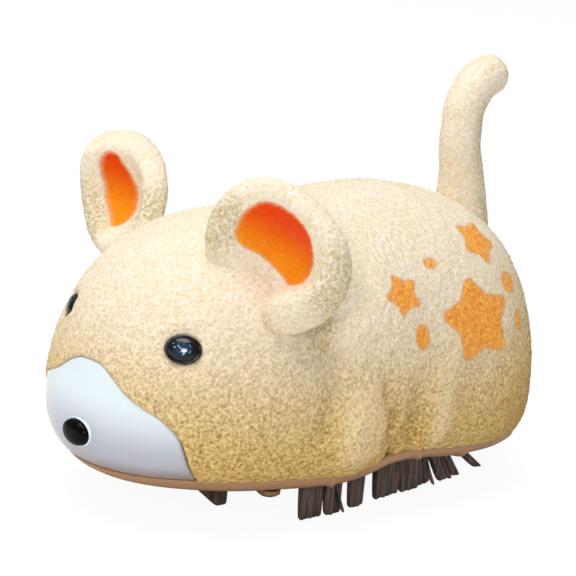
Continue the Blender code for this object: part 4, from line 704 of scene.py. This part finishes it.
def sunk(points, depth):
    """Points inside the head are drawn out until they lie only that deep under its skin."""
    offset = points - (0, 0, CORE)
    away = np.linalg.norm(offset, axis=-1)
    bearing = np.degrees(np.arctan2(offset[..., 0], -offset[..., 1]))
    lift = np.degrees(np.arctan2(offset[..., 2], np.hypot(offset[..., 0], offset[..., 1])))
    limit = np.linalg.norm(skin(bearing, lift) - (0, 0, CORE), axis=-1) - depth
    return (0, 0, CORE) + offset * (np.maximum(away, limit) / away)[..., None]


def pile_tail():
    """Tail: circles square to its middle line, closing as a dome at the tip, sunk into the rump."""
    path = np.array(TAIL_PATH, float)
    run = np.concatenate([[0], np.cumsum(np.hypot(*np.diff(path[:, :2], axis=0).T))])
    rows = TAIL_ROWS + TIP_ROWS
    at = np.concatenate([np.linspace(0, run[-1], TAIL_ROWS), np.full(TIP_ROWS, run[-1])])
    swing = np.concatenate([np.zeros(TAIL_ROWS), np.radians(np.linspace(9, 87, TIP_ROWS))])
    back, height, radius = (table(at, run, path[:, k]) for k in range(3))
    way = np.stack([np.zeros(rows), table(at + .01, run, path[:, 0]) - table(at - .01, run, path[:, 0]),
                    table(at + .01, run, path[:, 1]) - table(at - .01, run, path[:, 1])], 1)
    way[TAIL_ROWS:] = way[TAIL_ROWS - 1]
    way = unit(way)
    middle = np.stack([np.zeros(rows), back, height], 1) + way * (radius * np.sin(swing))[:, None]
    over = np.stack([np.zeros(rows), way[:, 2], -way[:, 1]], 1)
    angle = np.arange(TAIL_COLUMNS) * 2 * math.pi / TAIL_COLUMNS
    thick = (radius * np.cos(swing))[:, None]
    rings = (middle[:, None] + np.array([1.0, 0, 0]) * (thick * np.cos(angle))[..., None]
             + over[:, None] * (thick * np.sin(angle))[..., None])
    normals = ring_normals(rings)
    if np.sum(normals * (rings - middle[:, None])) < 0:
        normals = -normals
    tip = tufts(rings, normals, 41)
    rings = sunk(rings + normals * ((tip - .5) * TAIL_RELIEF)[..., None], SUNK_DEPTH)
    # Painted shade down one side of the tail, below its tip
    fold = .75 * ease(normals @ SHADED_SIDE, .2, .95) * (1 - ease(rings[..., 2], 57, 66))
    values = shade_values(rings, tip, fold=fold)
    form = closed(rings, rings[0].mean(0), middle[-1] + way[-1] * .1)
    return piece("pile_tail", [form], FLOCK, ("tail",), values=values)


def muzzle():
    """Mask: rings spread from the nose to the edge, rolled over it and back along an inner face."""
    half_bearings, half_lifts = mask_edge(90)
    bottom = np.linspace(MASK_CORNER, -MASK_CORNER, 90)[1:-1]
    bearings = np.concatenate([half_bearings, bottom, -half_bearings[:0:-1]])
    lifts = np.concatenate([half_lifts, lift_at(bottom, rim_height(bottom, NAPS)), half_lifts[:0:-1]])
    spread = np.stack([bearings, lifts - NOSE_LIFT], 1)
    size = np.linalg.norm(spread, axis=1, keepdims=True)
    share = np.linspace(.02, 1, 60)[:, None, None]
    flat = spread * share * (1 - .45 / size)
    points = skin(flat[..., 0], flat[..., 1] + NOSE_LIFT)
    normals = ring_normals(points)
    if np.sum(normals * (points - (0, 0, CORE))) < 0:
        normals = -normals
    sink = .30 + .5 * ease(share[..., 0], .975, 1.0) ** 2
    outer = points - normals * sink[..., None]
    inner = points[::6] - normals[::6] * MASK_WALL
    inner = np.concatenate([inner, (points - normals * MASK_WALL)[-1:]])
    rings = np.concatenate([outer, inner[::-1]])
    # How low each point lies, for the mask's painted shade and painted reflection lower down
    low = np.concatenate([np.broadcast_to(1 - ease(outer[..., 2], 7.5, 24), outer.shape[:2]),
                          np.ones(inner.shape[:2])])
    nose = skin(np.array([0.0]), np.array([NOSE_LIFT]))[0]
    form = closed(rings, nose + (0, .45, 0), nose + (0, MASK_WALL, 0))
    values = {"low": np.append(low, [.5, 1])}
    return piece("gloss_muzzle", [form], MASK, ("muzzle_mask",), values=values)


def dome(bearing, lift, half_width, half_height, rows):
    """Rings of a stud square to its seat; a row is its distance out and its share of the half sizes."""
    origin, side, up, out = seat(bearing, lift)
    angle = np.arange(DOME_COLUMNS) * 2 * math.pi / DOME_COLUMNS
    distance, share = np.array(rows, float).T
    u = share[:, None] * half_width * np.cos(angle)
    v = share[:, None] * half_height * np.sin(angle)
    rings = origin + side * u[..., None] + up * v[..., None] + out * distance[:, None, None]
    return closed(rings, origin + out * distance[0], origin + out * distance[-1])


def face():
    """Nose with a pale rim, and eyes: flanged domes, the heart of each eye kept as a value from 1 to 0."""
    swing = np.radians(np.linspace(0, 86, 14))
    nose_rows = [(-1.4, .5), (-.5, .96), (-.3, 1), (.3, 1)]
    nose_rows += [(.35 + 1.0 * math.sin(a), math.cos(a)) for a in swing]
    nose = dome(NOSE_BEARING, NOSE_LIFT, *NOSE_SIZE, nose_rows)
    piece("nose_button", [nose], glossy_black("nose_gloss"), ("nose",))
    rim_rows = [(-1.2, .6), (-.6, 1.10), (-.3, 1.12), (-.05, 1.11), (.06, 1.07), (.0, 1.03), (-.3, .99)]
    rim_rows += [(-.8, .6)]
    rim = dome(NOSE_BEARING, NOSE_LIFT, *NOSE_SIZE, rim_rows)
    piece("nose_rim", [rim], MASK, values={"low": np.full(len(rim[0]), .1)})
    rows = [(-1.0, .5), (-.7, .95), (-.6, 1), (-.15, 1), (.05, .97), (.08, .9), (.0, .84)]
    rows += [(-.03 + .85 * math.sin(a), .83 * math.cos(a)) for a in swing]
    heart = np.array([0.0] * 7 + [min(1, 1.1 * math.sin(a) ** 3) for a in swing])
    look = eye_gloss()
    for turn, word in ((1, "left"), (-1, "right")):
        values = {"heart": np.append(np.repeat(heart, DOME_COLUMNS), [0, 1])}
        bearing, lift, rise = EYES[turn]
        raised = [(out + rise, share) for out, share in rows]
        piece("domed_eye_" + word, [dome(bearing * turn, lift, *EYE_SIZE, raised)], look,
              ("eye_" + word,), values=values)


def hem_band():
    """Soft tan band round the chassis rim, between the pile's edge and the hem, with small nubs."""
    bearing = np.linspace(0, 360, 720, endpoint=False)
    nap = lift_at(bearing, rim_height(bearing, NAPS))
    hem = lift_at(bearing, rim_height(bearing, HEMS))
    rows = np.linspace(0, 1, 15)[:, None]
    lift = nap - .2 + (hem - nap + .2) * rows
    points = skin(np.broadcast_to(bearing, lift.shape), lift)
    normals = ring_normals(points)
    if np.sum(normals * (points - (0, 0, CORE))) < 0:
        normals = -normals
    bulge = .55 * np.sin(np.pi * np.clip(rows, 0, 1)) ** .7
    side = np.abs((bearing + 180) % 360 - 180)
    nubs = sum(.5 * np.exp(-((side - at) / 1.1) ** 2) for at in (66, 106, 132))
    outer = points + normals * (bulge - .25 + nubs * np.sin(np.pi * rows))[..., None]
    inner = points[::-4] - normals[::-4] * 1.2
    rings = np.concatenate([outer, inner])
    low = np.concatenate([np.broadcast_to(rows, outer.shape[:2]), np.ones(inner.shape[:2])])
    return piece("hem_band", [grid_loop(rings)], HEM, values={"low": low})


def grid_loop(rings):
    """Points and faces of rings whose last row meets the first, as a closed band."""
    rows, columns = rings.shape[:2]
    row, column = np.meshgrid(np.arange(rows), np.arange(columns), indexing="ij")
    below = (row + 1) % rows
    beside = (column + 1) % columns
    quads = np.stack([row * columns + column, row * columns + beside, below * columns + beside,
                      below * columns + column], -1).reshape(-1, 4)
    return rings.reshape(-1, 3), [quads]


def blade(origin, along, outward, top, tip, root_height, low, thick, bend=0.0):
    """Rubber blade: rounded rectangles from root to tip, drawn in there and bent out as it drops."""
    rows = np.array([0, .04, .2, .4, .6, .8, .92, .97, 1.0])
    thin = np.array([1, 1, 1, .98, .95, .9, .84, .7, .35])
    narrow = np.array([0, 0, 0, 0, 0, 0, .03, .12, .35])
    angle = np.arange(28) * 2 * math.pi / 28
    form_x = np.sign(np.cos(angle)) * np.abs(np.cos(angle)) ** .35
    form_y = np.sign(np.sin(angle)) * np.abs(np.sin(angle)) ** .6
    start, end = np.array(top, float), np.array(tip, float)
    middle = (start.mean() + (end.mean() - start.mean()) * rows)[:, None]
    half = ((np.ptp(start) + (np.ptp(end) - np.ptp(start)) * rows) / 2 - narrow * .5)[:, None]
    height = (root_height + (low - root_height) * rows)[:, None]
    out = (bend * rows ** 2)[:, None] + thin[:, None] * thick / 2 * form_y
    rings = (np.array(origin, float) + np.array([*along, 0.0]) * (middle + half * form_x)[..., None]
             + np.array([*outward, 0.0]) * out[..., None]
             + np.array([0, 0, 1.0]) * np.broadcast_to(height, out.shape)[..., None])
    return closed(rings, rings[0].mean(0), rings[-1].mean(0))


def feet():
    """Four feet: a rail each, and under it blades that are slit into strips with uneven ends."""
    draw = np.random.default_rng(7)
    for place, start, end, blades in FEET:
        for turn, word in ((1, "left"), (-1, "right")):
            first, last = np.array(start) * (turn, 1), np.array(end) * (turn, 1)
            length = np.linalg.norm(last - first)
            along = (last - first) / length
            outward = np.array([along[1], -along[0]]) * turn
            forms = [blade((*first, 0), along, outward, (0, length), (0, length), 8.2, 6.4, 2.7)]
            for number, (root_a, root_b, tip_a, tip_b, tip, bend) in enumerate(blades):
                strips = max(1, round((root_b - root_a) * length / STRIP_WIDTH))
                for strip in range(strips):
                    part = np.array([strip, strip + 1]) / strips
                    root = (root_a + (root_b - root_a) * part) * length
                    low = (tip_a + (tip_b - tip_a) * part) * length + draw.uniform(-.06, .06)
                    shift = (.25 if number % 2 else -.25) + draw.uniform(-.12, .12)
                    lift = tip * FOOT_REACH + draw.uniform(0, .22) * (tip > 0)
                    origin = (first[0] + shift * outward[0], first[1] + shift * outward[1], 0)
                    thick = 1.3 if strips > 1 else .7
                    forms.append(blade(origin, along, outward, root, low, FOOT_TOP, lift, thick, bend))
            piece(f"rubber_{place}_foot_{word}", forms, RUBBER, (f"{place}_foot_{word}",))


def skids():
    """Chin fins: a pad under the belly and a fin whose front edge slants."""
    for turn, word in ((1, "left"), (-1, "right")):
        origin = (7.6 * turn, 0, 0)
        forms = [blade(origin, (0, 1), (turn, 0), (-26.6, -18.2), (-26.6, -18.2), 5.5, 4.6, 2.6),
                 blade(origin, (0, 1), (turn, 0), (-26.3, -18.5), (-20.6, -18.6), 5.2, .5, 1.4)]
        piece("rubber_chin_fin_" + word, forms, RUBBER, ("chin_skid_" + word,))


def carried_over():
    """Better materials for the CAD nodes that stay."""
    steel = metal("plated_steel", paint(196, 196, 192), .32, (300, 4000, 4000))
    brass = metal("pressed_brass", paint(214, 178, 104), .36, (4000, 300, 4000))
    tan = moulded("chassis_tan", paint(172, 136, 104), paint(146, 110, 80), .5, 700)
    white = moulded("white_plastic", paint(226, 226, 220), paint(206, 204, 196), .4)
    dark = moulded("dark_plastic", paint(46, 46, 50), paint(30, 30, 33), .45)
    red = moulded("red_lead", paint(190, 40, 34), paint(150, 26, 22), .4)
    jacket = moulded("cell_sleeve", paint(178, 112, 62), paint(150, 90, 46), .3, 300)
    bronzed = metal("bronzed_steel", paint(150, 116, 84), .5, (300, 4000, 4000))
    looks = {"steel": steel, "brass": brass, "chassis_tan": tan, "plastic_white": white,
             "plastic_dark": dark, "lead_red": red, "cell_jacket": jacket,
             "nose_black": glossy_black("slider_black"), "foot_rubber": RUBBER, "eye_dark": dark,
             "mask_white": white, "flocked_cream": FLOCK}
    for row in frame["record"]["subparts"]:
        node = frame["nodes"][row["node"]]
        node.data.materials.clear()
        screw = row["node"].startswith("chassis_screw")
        node.data.materials.append(bronzed if screw else looks[row["material_slot"]])


carried_over()
body_pile()
for side_turn, side_word in ((1, "left"), (-1, "right")):
    pile_ear(side_turn, side_word)
pile_tail()
muzzle()
face()
hem_band()
feet()
skids()


def studio():
    """White surroundings, a pale floor, and soft lamps above and in front."""
    f = Finish("pale_floor")
    fine = f.noise(f.place(), 40, 2)
    tone = f.mix(fine, paint(250, 250, 250), paint(244, 244, 244))
    diffuse = f.node("ShaderNodeBsdfDiffuse", {}, {"Color": tone}, "BSDF")
    glow = f.node("ShaderNodeEmission", {}, {"Color": (1, 1, 1, 1), "Strength": FLOOR_GLOW}, "Emission")
    path = f.node("ShaderNodeLightPath", output="Is Camera Ray")
    f.close(f.node("ShaderNodeMixShader", {}, {0: path * FLOOR_SHARE, 1: diffuse, 2: glow}, "Shader"))
    mesh = bpy.data.meshes.new("floor")
    corners = [(x * FLOOR_SIDE, y * FLOOR_SIDE, 0) for x, y in ((-1, -1), (1, -1), (1, 1), (-1, 1))]
    mesh.from_pydata(corners, [], [(0, 1, 2, 3)])
    mesh.materials.append(f.material)
    floor = bpy.data.objects.new("floor", mesh)
    bpy.context.scene.collection.objects.link(floor)
    world = bpy.data.worlds.new("studio")
    bpy.context.scene.world = world
    w = Finish("", world)
    seen, lit = (w.node("ShaderNodeBackground", {}, {"Color": (1, 1, 1, 1), "Strength": strength},
                        "Background") for strength in (SKY_SEEN, SKY_LIGHT))
    direct = w.node("ShaderNodeLightPath", output="Is Camera Ray")
    w.close(w.node("ShaderNodeMixShader", {}, {0: direct, 1: lit, 2: seen}, "Shader"),
            "ShaderNodeOutputWorld")
    for name, place, size, power in LAMPS:
        lamp = bpy.data.lights.new(name, "AREA")
        lamp.shape, lamp.size, lamp.energy = "SQUARE", size, power
        holder = bpy.data.objects.new(name, lamp)
        bpy.context.scene.collection.objects.link(holder)
        holder.location = place
        holder.rotation_euler = (Vector(LAMPS_AIM) - Vector(place)).to_track_quat("-Z", "Y").to_euler()


def camera():
    """The photograph's view: azimuth, elevation and roll about a target, at the lens it was taken with."""
    turn, rise, roll = (math.radians(v) for v in (VIEW_TURN, VIEW_RISE, VIEW_ROLL))
    back = Vector((math.sin(turn) * math.cos(rise), -math.cos(turn) * math.cos(rise), math.sin(rise)))
    right = Vector((math.cos(turn), math.sin(turn), 0))
    up = back.cross(right)
    across = right * math.cos(roll) + up * math.sin(roll)
    upright = up * math.cos(roll) - right * math.sin(roll)
    data = bpy.data.cameras.new("photo_view")
    data.sensor_width = SENSOR_WIDTH
    data.lens = SENSOR_WIDTH * FOCAL_PIXELS / PHOTO_PIXELS
    data.clip_start, data.clip_end = .01, 20
    view = bpy.data.objects.new("photo_view", data)
    bpy.context.scene.collection.objects.link(view)
    place = Vector(VIEW_TARGET) + back * VIEW_DISTANCE
    view.matrix_world = Matrix.Translation(place) @ Matrix((across, upright, back)).transposed().to_4x4()
    bpy.context.scene.camera = view


studio()
camera()
bpy.context.scene.view_settings.view_transform = "Standard"
